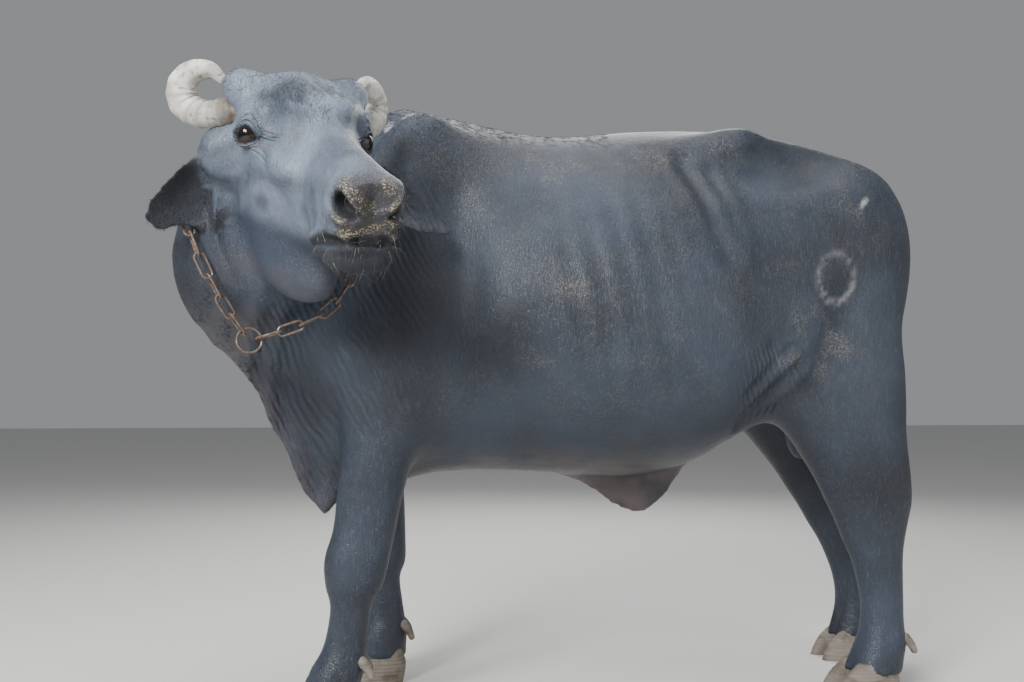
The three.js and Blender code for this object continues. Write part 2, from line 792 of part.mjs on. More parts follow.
/** The slit between the lips: a thin blade along the mouth, set into the muzzle. */
function mouthSlit() {
  const line = new THREE.CatmullRomCurve3(MOUTH.map(([x, y, z]) => new THREE.Vector3(x, y, z)));
  const steps = 12;
  const geometry = shapeTube(steps, 4, (row, angle, isMiddle) => {
    const t = clamp(row / steps, 0, 1);
    const point = line.getPointAt(t);
    if (isMiddle) {
      return headPoint(point.x, point.y, point.z);
    }
    const tangent = line.getTangentAt(t);
    const outward = new THREE.Vector3(tangent.y, -tangent.x, 0).normalize();
    point.addScaledVector(outward, 14 * sin(angle));
    point.z += MOUTH_GAPE * cos(angle);
    return headPoint(point.x, point.y, point.z);
  });
  return toSolid(geometry);
}

function buildDetailedHead() {
  let head = buildHead(0);
  for (const side of [-1, 1]) {
    head = head.add(lidRim(side));
    head = head.subtract(toSolid(ball(headPoint(EYE[0], EYE[1] * side, EYE[2]), EYE_RADIUS + GAP, 12, 8)));
    head = head.subtract(nostrilShape(side, 0));
  }
  return head.subtract(mouthSlit());
}

/** A horn, or with growth the room that it needs in the head, which then also starts a little deeper. */
function hornGeometry(side, grow) {
  const line = headPath(HORN, side);
  const inward = line[0].clone().sub(line[1]).normalize();
  line[0].addScaledVector(inward, 2 * grow);
  return bentTube(line, HORN_RADIUS.map((radius) => radius + grow), 12, 10, HORN_FLATNESS);
}

/** An ear: a cupped leaf of even thickness, its breadth and cup largest near the middle. */
function earGeometry(ear, grow) {
  const root = headPoint(...ear.root);
  const tip = headPoint(...ear.tip);
  const axis = tip.clone().sub(root);
  const breadth = headDirection(ear.breadth);
  breadth.addScaledVector(axis, -breadth.dot(axis) / axis.lengthSq()).normalize();
  const facing = new THREE.Vector3().crossVectors(axis, breadth).normalize();
  if (facing.y > 0) {
    facing.negate();
  }
  const steps = 10;
  return shapeTube(steps, 12, (row, angle, isMiddle) => {
    const t = row / steps;
    const width = EAR_BREADTH * pow(sin(PI * pow(mix(0.09, 0.985, t), 0.6)), 0.75);
    const across = isMiddle ? 0 : sin(angle);
    const face = isMiddle ? 0 : cos(angle);
    const cup = EAR_CUP * (1 - t) + 10;
    const point = root.clone().addScaledVector(axis, t);
    point.addScaledVector(breadth, across * (width + grow) - 18 * t * (1 - t));
    const fold = cup * (across * across - 0.5) * (width / EAR_BREADTH);
    point.addScaledVector(facing, fold + face * (EAR_THICK + grow) * mix(1.5, 0.7, t));
    return point;
  });
}

// Feet
function clawGeometry(foot, side, grow) {
  const rings = CLAW_ROWS.map(([z, back, length, width]) => ({
    middle: new THREE.Vector3(foot.x + back, foot.y + side * CLAW_APART, z === 0 ? -grow : z),
    across: Y_AXIS,
    up: X_AXIS,
    length: CLAW_LENGTH * length + grow,
    width: CLAW_WIDTH * width + grow,
  }));
  return tubeGeometry(rings, 12, (ring, direction, angle) => {
    const along = abs(cos(angle));
    const across = abs(sin(angle));
    const toe = cos(angle) < 0 ? 1.7 : 2.6;
    return pow(pow(along / ring.length, toe) + pow(across / ring.width, toe), -1 / toe);
  });
}

function footOf(leg) {
  const [place] = rowsAt(leg.rows, 40);
  return new THREE.Vector3(place + legMiddle(leg, 0) - CLAW_AHEAD, leg.side, 0);
}

// Tail and switch
const tailPoints = TAIL.map(([x, y, z]) => new THREE.Vector3(x, y, z));
const tailRadii = TAIL.map((row) => row[3]);

function tailSwitch() {
  const core = SWITCH_CORE.map((point) => new THREE.Vector3(...point));
  let whole = toSolid(bentTube(core, SWITCH_CORE_RADII, 5, 7));
  for (let lock = 0; lock < SWITCH_LOCKS; lock += 1) {
    const turn = radians(lock * GOLDEN_ANGLE);
    const start = SWITCH_TOP - 20 - (lock % 5) * 26;
    const end = SWITCH_BOTTOM + (lock % 4) * 38;
    const spread = 16 + (lock % 3) * 8;
    const at = (radius, z) => {
      const [x, y] = SWITCH_MIDDLE;
      return new THREE.Vector3(x + radius * cos(turn), y + radius * sin(turn), z);
    };
    const upper = at(spread, mix(start, end, 0.35));
    const lower = at(spread, mix(start, end, 0.7));
    whole = whole.add(toSolid(bentTube([at(8, start), upper, lower, at(6, end)], LOCK_RADII, 4, 4)));
  }
  return whole;
}

/** A hanging fold of skin between a free edge and a line inside the flesh. */
function foldGeometry(edge, root, thick, around) {
  const rings = edge.map((low, index) => {
    const free = new THREE.Vector3(...low);
    const held = new THREE.Vector3(...root[index]);
    const before = new THREE.Vector3(...edge[max(index - 1, 0)]);
    const after = new THREE.Vector3(...edge[min(index + 1, edge.length - 1)]);
    const up = held.clone().sub(free);
    const half = up.length() / 2;
    const across = new THREE.Vector3().crossVectors(after.sub(before), up).normalize();
    return { middle: free.lerp(held, 0.5), across, up: up.normalize(), half };
  });
  return tubeGeometry(rings, around, (ring, direction, angle) => {
    const width = thick * (cos(angle) < 0 ? 0.8 : 1.15);
    return pow(pow(abs(cos(angle)) / ring.half, 2.4) + pow(abs(sin(angle)) / width, 2.4), -1 / 2.4);
  });
}

// Collar: the tight line round the neck in one slanted plane, pulled down to the ring
const ringMiddle = new THREE.Vector3(...COLLAR_RING);
const collarFacing = new THREE.Vector3(...COLLAR_FACING).normalize();
const collarUp = Z_AXIS.clone().addScaledVector(collarFacing, -collarFacing.z).normalize();
const collarAcross = new THREE.Vector3().crossVectors(collarUp, collarFacing).normalize();

/** A point of the collar's sheet, which swings forward on the outer side of the bent neck. */
function collarPlace(u, v) {
  const outward = clamp(-u / 110, 0, 1);
  const low = clamp((-40 - v) / 110, 0, 1);
  const inward = clamp((u - 20) / 90, 0, 1);
  const outer = (COLLAR_SWING + COLLAR_LOW_SWING * low) * outward * outward * (3 - 2 * outward);
  const swing = outer + COLLAR_INNER_SWING * inward * inward * (3 - 2 * inward);
  return ringMiddle.clone()
    .addScaledVector(collarUp, COLLAR_RISE + v)
    .addScaledVector(collarAcross, u)
    .addScaledVector(collarFacing, swing);
}

function collarSection(u, v) {
  const point = collarPlace(u, v);
  return headAndNeckField(point.x, point.y, point.z) - COLLAR_INNER_CLEAR * clamp(u / 60, 0, 1);
}

function collarPath() {
  const points = [];
  for (let step = 0; step < COLLAR_SAMPLES; step += 1) {
    const angle = (step / COLLAR_SAMPLES) * 2 * PI;
    const direction = new THREE.Vector3(sin(angle), cos(angle), 0);
    const reach = reachTo(collarSection, ORIGIN, direction, COLLAR_CLEAR);
    points.push([sin(angle) * reach, cos(angle) * reach]);
  }
  const ringAt = [0, -COLLAR_RISE];
  points.push(ringAt);
  points.sort((a, b) => a[0] - b[0] || a[1] - b[1]);
  const turnOf = (a, b, c) => (b[0] - a[0]) * (c[1] - a[1]) - (b[1] - a[1]) * (c[0] - a[0]);
  const chainOf = (list) => {
    const hull = [];
    for (const point of list) {
      while (hull.length > 1 && turnOf(hull[hull.length - 2], hull[hull.length - 1], point) <= 0) {
        hull.pop();
      }
      hull.push(point);
    }
    return hull.slice(0, -1);
  };
  const hull = chainOf(points).concat(chainOf(points.slice().reverse()));
  const first = hull.indexOf(ringAt);
  const rest = hull.slice(first + 1).concat(hull.slice(0, first));
  const onRing = ([u, v]) => {
    const away = hypot(u - ringAt[0], v - ringAt[1]) / RING_GRIP;
    return [ringAt[0] + (u - ringAt[0]) / away, ringAt[1] + (v - ringAt[1]) / away];
  };
  const ordered = [onRing(rest[0]), ...rest, onRing(rest[rest.length - 1])];
  const outline = new THREE.CurvePath();
  for (let index = 0; index < ordered.length - 1; index += 1) {
    outline.add(new THREE.LineCurve3(collarPlace(...ordered[index]), collarPlace(...ordered[index + 1])));
  }
  let line = outline.getSpacedPoints(COLLAR_BENDS);
  for (let pass = 0; pass < COLLAR_SMOOTHING; pass += 1) {
    line = line.map((point, index) => {
      const isEnd = index === 0 || index === COLLAR_BENDS;
      return isEnd ? point : point.clone().lerp(line[index - 1].clone().lerp(line[index + 1], 0.5), 0.5);
    });
  }
  return new THREE.CatmullRomCurve3(line);
}

/** One chain link, long way along a direction, its flat side turned by an angle about that direction. */
function linkGeometry(middle, along, out, turn) {
  const link = new THREE.TorusGeometry(1, 0.1, 4, 10);
  const position = link.attributes.position;
  const straight = LINK_LENGTH / 2 - LINK_WIDTH / 2;
  const radius = LINK_WIDTH / 2 - LINK_WIRE;
  for (let index = 0; index < position.count; index += 1) {
    const x = position.getX(index);
    const y = position.getY(index);
    const angle = atan2(y, x);
    const wire = radius + ((hypot(x, y) - 1) / 0.1) * LINK_WIRE;
    const shift = abs(x) < 1e-3 ? 0 : sign(x) * straight;
    const lift = (position.getZ(index) / 0.1) * LINK_WIRE;
    position.setXYZ(index, wire * cos(angle) + shift, wire * sin(angle), lift);
  }
  const side = new THREE.Vector3().crossVectors(along, out).normalize();
  const flat = out.clone().multiplyScalar(cos(turn)).addScaledVector(side, sin(turn));
  const across = new THREE.Vector3().crossVectors(flat, along).normalize();
  link.applyMatrix4(new THREE.Matrix4().makeBasis(along, across, flat));
  return link.translate(middle.x, middle.y, middle.z);
}

// Assembly
const clawRooms = [];
const claws = [];
for (const leg of LEGS) {
  const foot = footOf(leg);
  for (const [label, side] of [['outer', sign(leg.side)], ['inner', -sign(leg.side)]]) {
    claws.push([`claw_${leg.name.slice(4)}_${label}`, clawGeometry(foot, side, 0)]);
    clawRooms.push(toSolid(clawGeometry(foot, side, GAP)));
  }
}
const cutAll = (solid, rooms) => rooms.reduce((left, room) => left.subtract(room), solid);

const hornRooms = [-1, 1].map((side) => toSolid(hornGeometry(side, 1.5 * GAP)));
// The dewlap is one with the neck
const dewlap = toSolid(foldGeometry(DEWLAP_EDGE, DEWLAP_ROOT, DEWLAP_THICK, 14)).subtract(headRoom);
hide('neck', cutAll(neckTube(0).add(dewlap), [torsoRoom, ...hornRooms]));
hide('head', cutAll(buildDetailedHead(), hornRooms));

for (const leg of LEGS) {
  const column = legColumn(leg, leg.cut - HALF_GAP, LEG_FOOT, LEG_STEPS, 0);
  hide(leg.name, cutAll(column, [torsoRoom, neckRoom, ...clawRooms]));
}
for (const [name, geometry] of claws) {
  addNode(name, toSolid(geometry), 0x6b6459, 0.55);
}
const earCuts = [headRoom, neckRoom, buildHead(4 * GAP), neckTube(4 * GAP), ...hornRooms];
for (const ear of EARS) {
  hide(ear.name, cutAll(toSolid(earGeometry(ear, 0)), earCuts));
}
for (const [label, side] of [['right', -1], ['left', 1]]) {
  addNode(`horn_${label}`, toSolid(hornGeometry(side, 0)), 0x9a9078, 0.6);
  const eyeball = ball(headPoint(EYE[0], EYE[1] * side, EYE[2]), EYE_RADIUS, 12, 8);
  addNode(`eye_${label}`, toSolid(eyeball), 0x17100d, 0.1);
}
const tail = toSolid(bentTube(tailPoints, tailRadii, 14, 10));
const switchLocks = tailSwitch();
hide('tail', cutAll(tail, [torsoRoom, switchLocks]));
addNode('tail_switch', switchLocks, 0x14151a, 0.8);
const sheathEdge = SHEATH_EDGE.map(([x, z]) => [x, 0, z]);
const sheathRoot = SHEATH_EDGE.map(([x, z]) => [x, 0, z + SHEATH_RISE]);
hide('sheath', toSolid(foldGeometry(sheathEdge, sheathRoot, SHEATH_THICK, 12)).subtract(torsoRoom));
const bulb = new THREE.SphereGeometry(1, 14, 10).rotateX(PI / 2);
bulb.scale(...SCROTUM.size).translate(...SCROTUM.at);
hide('scrotum', toSolid(bulb).subtract(torsoRoom));

const STEEL = 0x6d5645;
const ringShape = new THREE.TorusGeometry(RING_RADIUS, RING_WIRE, 6, 18);
ringShape.applyMatrix4(new THREE.Matrix4().makeBasis(collarAcross, collarUp, collarFacing));
addNode('collar_ring', toSolid(ringShape.translate(...COLLAR_RING)), STEEL, 0.55, 0.8);

const path = collarPath();
const pathLength = path.getLength();
const pitchWanted = LINK_LENGTH - 4 * LINK_WIRE - LINK_PLAY;
const linkCount = 2 * ceil((pathLength / pitchWanted - 1) / 2) + 1;
for (let index = 0; index < linkCount; index += 1) {
  const t = (index + 0.5) / linkCount;
  const along = path.getPointAt(min(t + 0.008, 1)).sub(path.getPointAt(max(t - 0.008, 0))).normalize();
  const out = new THREE.Vector3().crossVectors(along, collarFacing).normalize();
  const turn = index % 2 ? PI / 2 : 0;
  const name = `collar_link_${String(index + 1).padStart(2, '0')}`;
  addNode(name, toSolid(linkGeometry(path.getPointAt(t), along, out, turn)), STEEL, 0.6, 0.8);
}

// The origin is the middle of the box's base
const box = new THREE.Box3().setFromObject(model);
model.position.set(-(box.min.x + box.max.x) / 2, -(box.min.y + box.max.y) / 2, -box.min.z);

export default model;
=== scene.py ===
"""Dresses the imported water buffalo: one skin over its flesh, eyes, horns, claws, hair and the collar."""

import logging
import math
from collections.abc import Callable, Sequence
from dataclasses import dataclass
from enum import Enum

import bmesh
import bpy
import numpy as np
from mathutils import Matrix, Vector


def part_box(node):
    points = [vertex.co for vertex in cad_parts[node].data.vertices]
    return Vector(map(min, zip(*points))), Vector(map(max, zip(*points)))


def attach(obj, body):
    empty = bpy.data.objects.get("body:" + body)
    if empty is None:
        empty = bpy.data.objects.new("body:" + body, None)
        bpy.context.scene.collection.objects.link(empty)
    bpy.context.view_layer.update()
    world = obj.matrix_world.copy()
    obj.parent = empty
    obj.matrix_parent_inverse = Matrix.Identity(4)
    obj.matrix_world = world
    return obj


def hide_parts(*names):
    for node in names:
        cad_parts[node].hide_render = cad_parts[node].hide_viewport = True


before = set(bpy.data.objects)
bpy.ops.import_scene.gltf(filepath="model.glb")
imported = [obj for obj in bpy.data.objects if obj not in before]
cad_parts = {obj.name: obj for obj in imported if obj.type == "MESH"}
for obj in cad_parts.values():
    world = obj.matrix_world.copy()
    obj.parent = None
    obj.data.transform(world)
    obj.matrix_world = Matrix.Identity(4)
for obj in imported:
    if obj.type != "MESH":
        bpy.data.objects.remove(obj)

LOG = logging.getLogger("buffalo")
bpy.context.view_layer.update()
MM = 0.001
Array = np.ndarray
Triple = tuple[float, float, float]


class Slot(Enum):
    """The record's material slots."""

    HIDE = "hide"
    HORN = "horn"
    CLAW = "claw"
    EYE = "eye"
    SWITCH = "switch_hair"
    CHAIN = "chain"


# Sizes of the animal, in millimetres in the frame of its spine
EYE = (-2.0, 101.0, -8.0)
GAZE = (0.66, 0.74, 0.10)
HEAD_MIDDLE = np.array([-463.0, -485.0, 1148.0])


def unit(vector: Sequence[float] | Array) -> Array:
    """Gives a vector, or each row of an array, the length one."""
    vector = np.asarray(vector, float)
    return vector / np.maximum(np.linalg.norm(vector, axis=-1, keepdims=True), 1e-9)


HEAD_FORWARD = unit([0.354, -0.828, -0.435])
HEAD_LEFT = unit(np.cross([0.086, -0.434, 0.897], HEAD_FORWARD))
HEAD_UP = unit(np.cross(HEAD_FORWARD, HEAD_LEFT))
HEAD_AXES = np.array([HEAD_FORWARD, HEAD_LEFT, HEAD_UP])

TRUNK = (
    (-430, 1240, 600, 120), (-330, 1318, 520, 185), (-257, 1346, 496, 228), (-174, 1340, 506, 258),
    (-77, 1322, 510, 292), (44, 1303, 505, 326), (143, 1306, 497, 346), (269, 1322, 494, 356),
    (400, 1332, 520, 350), (500, 1334, 572, 322), (600, 1326, 618, 292), (700, 1306, 662, 262),
    (790, 1276, 724, 222), (860, 1238, 810, 168), (925, 1180, 930, 90),
)
FORELEG = (
    (800, -262, 70, 46), (670, -282, 95, 72), (586, -309, 79, 70), (478, -333, 71, 60),
    (400, -345, 67, 55), (337, -360, 69, 58), (284, -365, 61, 54), (245, -371, 45, 43),
    (188, -378, 44, 39), (150, -385, 48, 43), (115, -397, 57, 53), (80, -410, 60, 57),
    (40, -424, 64, 60),
)
HIND_LEG = (
    (870, 760, 110, 62), (760, 738, 160, 88), (671, 735, 166, 94), (603, 754, 146, 86),
    (545, 775, 130, 76), (497, 793, 118, 66), (439, 808, 105, 56), (396, 814, 90, 50),
    (347, 818, 74, 46), (305, 825, 62, 43), (255, 831, 54, 42), (213, 834, 50, 42),
    (164, 833, 50, 45), (123, 829, 56, 53), (80, 815, 62, 58), (40, 800, 68, 62),
)
NECK = (
    (0, 235, 955, 190, 358, 395), (30, 237, 950, 180, 360, 305), (60, 240, 945, 176, 332, 222),
    (90, 236, 965, 168, 284, 178), (118, 212, 1015, 130, 236, 166),
)
NECK_LAST_TURN = 118.0
BEND = (-330.0, -245.0)
HEAD = (
    (-130, 82, -205, 104, 84), (-65, 100, -246, 120, 84), (0, 82, -234, 120, 76),
    (65, 54, -210, 94, 60), (130, 38, -184, 70, 50), (195, 30, -166, 57, 48),
    (260, 22, -152, 56, 50), (300, 10, -142, 58, 50), (330, -6, -128, 52, 42),
)
TAIL = (
    (868, 0, 1215, 44), (918, 0, 1200, 40), (948, 2, 1150, 34), (956, 5, 1060, 27),
    (954, 6, 930, 22), (954, 4, 780, 18), (958, 0, 640, 15), (962, -2, 540, 13),
)
DEWLAP_EDGE = (
    (-578, -300, 838), (-612, -208, 800), (-614, -130, 735), (-590, -86, 662), (-546, -60, 570),
    (-494, -48, 468), (-452, -42, 404), (-424, -40, 392), (-400, -38, 436), (-384, -36, 500),
)
DEWLAP_ROOT = (
    (-530, -300, 930), (-530, -208, 900), (-510, -140, 850), (-480, -95, 780), (-440, -60, 700),
    (-412, -48, 620), (-400, -42, 560), (-392, -40, 540), (-384, -38, 560), (-374, -36, 580),
)
SHEATH_EDGE = ((140, 500), (195, 462), (250, 422), (302, 392), (338, 402), (378, 452), (420, 516))
SCROTUM_MIDDLE = (728.0, 0.0, 606.0)
SCROTUM_SIZE = (38.0, 46.0, 82.0)
MOUTH = (
    (0.0, 200.0, -50.0, -156.0), (0.2, 256.0, -50.0, -122.0), (0.36, 312.0, -36.0, -101.0),
    (0.5, 336.0, 0.0, -92.0), (0.64, 312.0, 36.0, -101.0), (0.8, 256.0, 50.0, -122.0),
    (1.0, 200.0, 50.0, -156.0),
)
HORN = (
    (-64, 80, 30, 29), (-80, 120, 18, 28), (-108, 156, 4, 27), (-136, 184, 14, 28),
    (-148, 190, 44, 28), (-138, 174, 72, 24), (-118, 148, 82, 19), (-102, 130, 70, 12),
)
SHIFT = np.array(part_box("eye_left")[0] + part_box("eye_left")[1]) / 2 / MM - (
    HEAD_MIDDLE + np.array(EYE) @ HEAD_AXES
)


@dataclass(frozen=True)
class Leg:
    """Where a leg stands: its rows, middle across, and how far its foot is set back."""

    name: str
    rows: tuple
    side: float
    lean: float
    lean_top: float

    @property
    def claws(self) -> list[tuple[int, str]]:
        """The direction across the foot and the name of each of its two claws."""
        outer = 1 if self.side > 0 else -1
        return [(side, "outer" if side == outer else "inner") for side in (-1, 1)]


LEGS = (
    Leg("front_left", FORELEG, -168, 0, 560),
    Leg("front_right", FORELEG, 152, 136, 560),
    Leg("hind_left", HIND_LEG, -172, 0, 800),
    Leg("hind_right", HIND_LEG, 158, 150, 800),
)


@dataclass(frozen=True)
class Form:
    """A round muscle, bone or hollow: middle, half sizes, turn about Y in degrees and blend width."""

    at: Triple
    size: Triple
    turn: float
    blend: float
    central: bool = False
    hollow: bool = False


FORMS = (
    Form((-285, 178, 1075), (105, 62, 235), 18, 90),
    Form((-352, 165, 800), (92, 82, 120), 0, 80),
    Form((-235, 185, 760), (125, 78, 130), -30, 80),
    Form((-380, 0, 640), (110, 120, 170), 0, 90, central=True),
    Form((492, 206, 1252), (84, 56, 46), 0, 80),
    Form((700, 168, 1090), (190, 110, 170), 20, 90),
    Form((868, 92, 1168), (64, 42, 52), 0, 60),
    Form((800, 150, 930), (118, 92, 210), 6, 80),
    Form((600, 190, 760), (70, 60, 110), -20, 90),
    Form((385, 285, 1235), (110, 62, 70), 0, 90, hollow=True),
    Form((640, 275, 1230), (110, 80, 60), -10, 90, hollow=True),
    Form((-130, 300, 1180), (80, 60, 170), 10, 90, hollow=True),
)
HEAD_FORMS = (
    Form((-2, 104, 14), (44, 20, 32), 0, 26),
    Form((-50, 66, -130), (92, 38, 84), 0, 40),
    Form((60, 76, -38), (80, 18, 22), 0, 34),
    Form((-70, 98, 62), (38, 40, 36), 0, 30),
    Form((-86, 120, -60), (46, 50, 54), 0, 40),
    Form((258, 30, -130), (62, 30, 26), 0, 26),
    Form((300, 32, -42), (42, 28, 38), 0, 24),
    Form((296, 0, -138), (46, 42, 24), 0, 20, central=True),
    Form((30, 0, 62), (90, 70, 30), 0, 40, central=True),
    Form((0, 0, -240), (150, 64, 66), 0, 60, central=True),
)


def to_row(points: Array) -> Array:
    """Turns millimetres in the spine's frame into metres in the row frame."""
    return (np.asarray(points, float) + SHIFT) * MM


def to_spine(points: Array) -> Array:
    """Turns metres in the row frame into millimetres in the spine's frame."""
    return np.asarray(points, float) / MM - SHIFT


def head_place(points: Array) -> Array:
    """Gives points of the spine's frame in the head's own frame: forward, left, up."""
    return (points - HEAD_MIDDLE) @ HEAD_AXES.T


def mirrored_head(points: Array) -> Array:
    """Gives points in the head's frame with its right side mirrored to the left."""
    local = head_place(points)
    local[:, 1] = np.abs(local[:, 1])
    return local


def from_head(points: Array) -> Array:
    """Gives points of the head's frame in the spine's frame."""
    return HEAD_MIDDLE + np.asarray(points, float) @ HEAD_AXES


def smooth(low: float, high: float, value: Array) -> Array:
    """Rises softly from 0 at low to 1 at high. With high below low it falls."""
    t = np.clip((value - low) / (high - low), 0, 1)
    return t * t * (3 - 2 * t)


def rows_at(rows: Sequence[Sequence[float]], key: Array) -> Array:
    """Reads rows of sizes at any key, with a smooth curve through them.

    Args:
        rows: Rows whose first number is the key.
        key: Where to read them.

    Returns:
        One column for each size.
    """
    table = np.asarray(rows, float)
    if table[0, 0] > table[-1, 0]:
        table = table[::-1]
    keys, values = table[:, 0], table[:, 1:]
    slopes = np.empty_like(values)
    slopes[1:-1] = (values[2:] - values[:-2]) / (keys[2:] - keys[:-2])[:, None]
    slopes[0] = (values[1] - values[0]) / (keys[1] - keys[0])
    slopes[-1] = (values[-1] - values[-2]) / (keys[-1] - keys[-2])
    index = np.clip(np.searchsorted(keys, key) - 1, 0, len(keys) - 2)
    span = (keys[index + 1] - keys[index])[:, None]
    t = np.clip((key[:, None] - keys[index][:, None]) / span, 0, 1)
    t2, t3 = t * t, t * t * t
    start = (2 * t3 - 3 * t2 + 1) * values[index] + (t3 - 2 * t2 + t) * slopes[index] * span
    end = (3 * t2 - 2 * t3) * values[index + 1] + (t3 - t2) * slopes[index + 1] * span
    return (start + end).T


def blend(a: Array, b: Array, width: float) -> Array:
    """Joins two fields softly over a width."""
    overlap = np.maximum(width - np.abs(a - b), 0) / width
    return np.minimum(a, b) - overlap * overlap * width / 4


def outside(across: Array, rise: Array, half: Array, reach: Array, roundness: Array | float) -> Array:
    """How far a point of a section lies outside a rounded outline."""
    distance = np.hypot(across, rise)
    scaled = (np.abs(across / half) ** roundness + np.abs(rise / reach) ** roundness) ** (1 / roundness)
    return distance * (1 - 1 / np.maximum(scaled, 0.02))


def ellipsoid(x: Array, y: Array, z: Array, form: Form) -> Array:
    """The field of one round form."""
    c, s = math.cos(math.radians(form.turn)), math.sin(math.radians(form.turn))
    dx, dy, dz = x - form.at[0], y - form.at[1], z - form.at[2]
    u, w = dx * c - dz * s, dx * s + dz * c
    scaled = np.sqrt((u / form.size[0]) ** 2 + (dy / form.size[1]) ** 2 + (w / form.size[2]) ** 2)
    return (scaled - 1) * min(form.size)


def rod(points: Array, start: Sequence[float], end: Sequence[float], thick: float, thin: float) -> Array:
    """The field of a round rod between two points, with its radius at each."""
    start, end = np.asarray(start, float), np.asarray(end, float)
    line = end - start
    t = np.clip((points - start) @ line / (line @ line), 0, 1)
    return np.linalg.norm(points - start - t[:, None] * line, axis=1) - (thick + (thin - thick) * t)


@dataclass
class Flesh:
    """The animal's body as one smooth field, negative inside, in the spine's frame."""

    leg_blend: float = 46.0
    sole_of_skin: float = 50.0
    fold_blend: float = 34.0
    dewlap_thick: float = 21.0
    sheath_thick: float = 23.0
    sheath_rise: float = 96.0
    level: float = -1.5

    def trunk(self, x: Array, y: Array, z: Array) -> Array:
        """The barrel of the body."""
        top, bottom, half = rows_at(TRUNK, x)
        middle = bottom + (top - bottom) * 0.42
        above = z > middle
        reach = np.where(above, top - middle, middle - bottom)
        side = outside(y, z - middle, half, reach, np.where(above, 1.9, 2.35))
        past = np.maximum(TRUNK[0][0] - x, x - TRUNK[-1][0])
        return np.where(past > 0, np.hypot(np.maximum(side, 0), past), side)

    def neck(self, x: Array, y: Array, z: Array) -> Array:
        """The neck, bent round an upright axis."""
        dx, dy = x - BEND[0], y - BEND[1]
        turn = np.where(dx > 0, 0, np.degrees(np.arctan2(-dx, dy)))
        distance = np.where(dx > 0, dy, np.hypot(dx, dy))
        path, height, thick, up, down = rows_at(NECK, np.clip(turn, 0, NECK_LAST_TURN))
        above = z > height
        reach, roundness = np.where(above, up, down), np.where(above, 1.45, 2.1)
        side = outside(distance - path, z - height, thick, reach, roundness)
        past = np.where(dx > 0, dx - 60, np.radians(turn - NECK_LAST_TURN) * distance)
        return np.where(past > 0, np.hypot(np.maximum(side, 0), past), side)

    def head(self, points: Array) -> Array:
        """The head with its bones and muscles."""
        along, across, rise = head_place(points).T
        top, bottom, above, below = rows_at(HEAD, along)
        middle, reach = (top + bottom) / 2, (top - bottom) / 2
        lift = np.clip((rise - middle) / reach, -1, 1)
        half = below + (above - below) * (0.5 + 0.5 * np.sin(lift * math.pi / 2))
        side = outside(across, rise - middle, half, reach, 2.3)
        past = np.maximum(HEAD[0][0] - along, along - HEAD[-1][0])
        field = np.where(past > 0, np.hypot(np.maximum(side, 0), past), side)
        for form in HEAD_FORMS:
            field = blend(field, ellipsoid(along, np.abs(across), rise, form), form.blend)
        return field

    def leg(self, leg: Leg, x: Array, y: Array, z: Array) -> Array:
        """One leg down to the top of its claws, with the cleft between the toes."""
        place, half_length, half_width = rows_at(leg.rows, z)
        place = place + leg.lean * np.maximum(0, 1 - z / leg.lean_top)
        side = outside(x - place, y - leg.side, half_length, half_width, 2.1)
        foot = rows_at(leg.rows, np.array([40.0]))[0][0] + leg.lean - 62
        cleft = ellipsoid(x, y, z, Form((foot, leg.side, 44), (34, 7, 62), 0, 1))
        side = -blend(-side, cleft, 10)
        side = -blend(-side, z - self.sole_of_skin, 14)
        return np.maximum(side, z - leg.rows[0][0] - 60)

    def sheet(self, points: Array, edge: Array, root: Array, thick: float) -> Array:
        """A hanging fold of skin between its edge and the line that it grows from."""
        field = np.full(len(points), 400.0)
        low = np.minimum(edge.min(0), root.min(0)) - 90
        high = np.maximum(edge.max(0), root.max(0)) + 90
        near = np.all((points > low) & (points < high), axis=1)
        if near.any():
            part = points[near]
            rods = [rod(part, a, b, thick * 0.72, thick) for a, b in zip(edge, root)]
            rods += [rod(part, a, b, thick * 0.72, thick * 0.72) for a, b in zip(edge, edge[1:])]
            field[near] = np.min(rods, axis=0)
        return field

    def value(self, points: Array) -> Array:
        """The whole body's field."""
        x, y, z = points.T
        field = self.trunk(x, y, z)
        for form in FORMS:
            part = ellipsoid(x, y if form.central else np.abs(y), z, form)
            field = -blend(-field, part, form.blend) if form.hollow else blend(field, part, form.blend)
        field = blend(field, self.neck(x, y, z), 90)
        field = blend(field, self.head(points), 50)
        for leg in LEGS:
            field = blend(field, self.leg(leg, x, y, z), self.leg_blend)
        edge, root = dense(DEWLAP_EDGE, 64), dense(DEWLAP_ROOT, 64)
        field = blend(field, self.sheet(points, edge, root, self.dewlap_thick), self.fold_blend)
        edge = dense([(x, 0, z + self.sheath_thick * 0.5) for x, z in SHEATH_EDGE], 34)
        root = edge + (0, 0, self.sheath_rise)
        field = blend(field, self.sheet(points, edge, root, self.sheath_thick), self.fold_blend)
        bulb = Form(SCROTUM_MIDDLE, SCROTUM_SIZE, 0, 40)
        field = blend(field, ellipsoid(x, y, z, bulb), 40)
        rods = [rod(points, a[:3], b[:3], a[3], b[3]) for a, b in zip(TAIL, TAIL[1:])]
        return blend(field, np.min(rods, axis=0), 30) - self.level

    def slope(self, points: Array, step: float = 1.5) -> Array:
        """The field's gradient."""
        parts = []
        for axis in np.eye(3) * step:
            parts.append((self.value(points + axis) - self.value(points - axis)) / (2 * step))
        return np.array(parts).T

    def settle(self, points: Array, passes: int, most: float = 10.0) -> Array:
        """Moves points onto the surface."""
        points = points.copy()
        for _ in range(passes):
            slope = self.slope(points)
            share = self.value(points) / np.maximum((slope**2).sum(1), 0.25)
            points -= slope * np.clip(share, -most, most)[:, None]
        return points


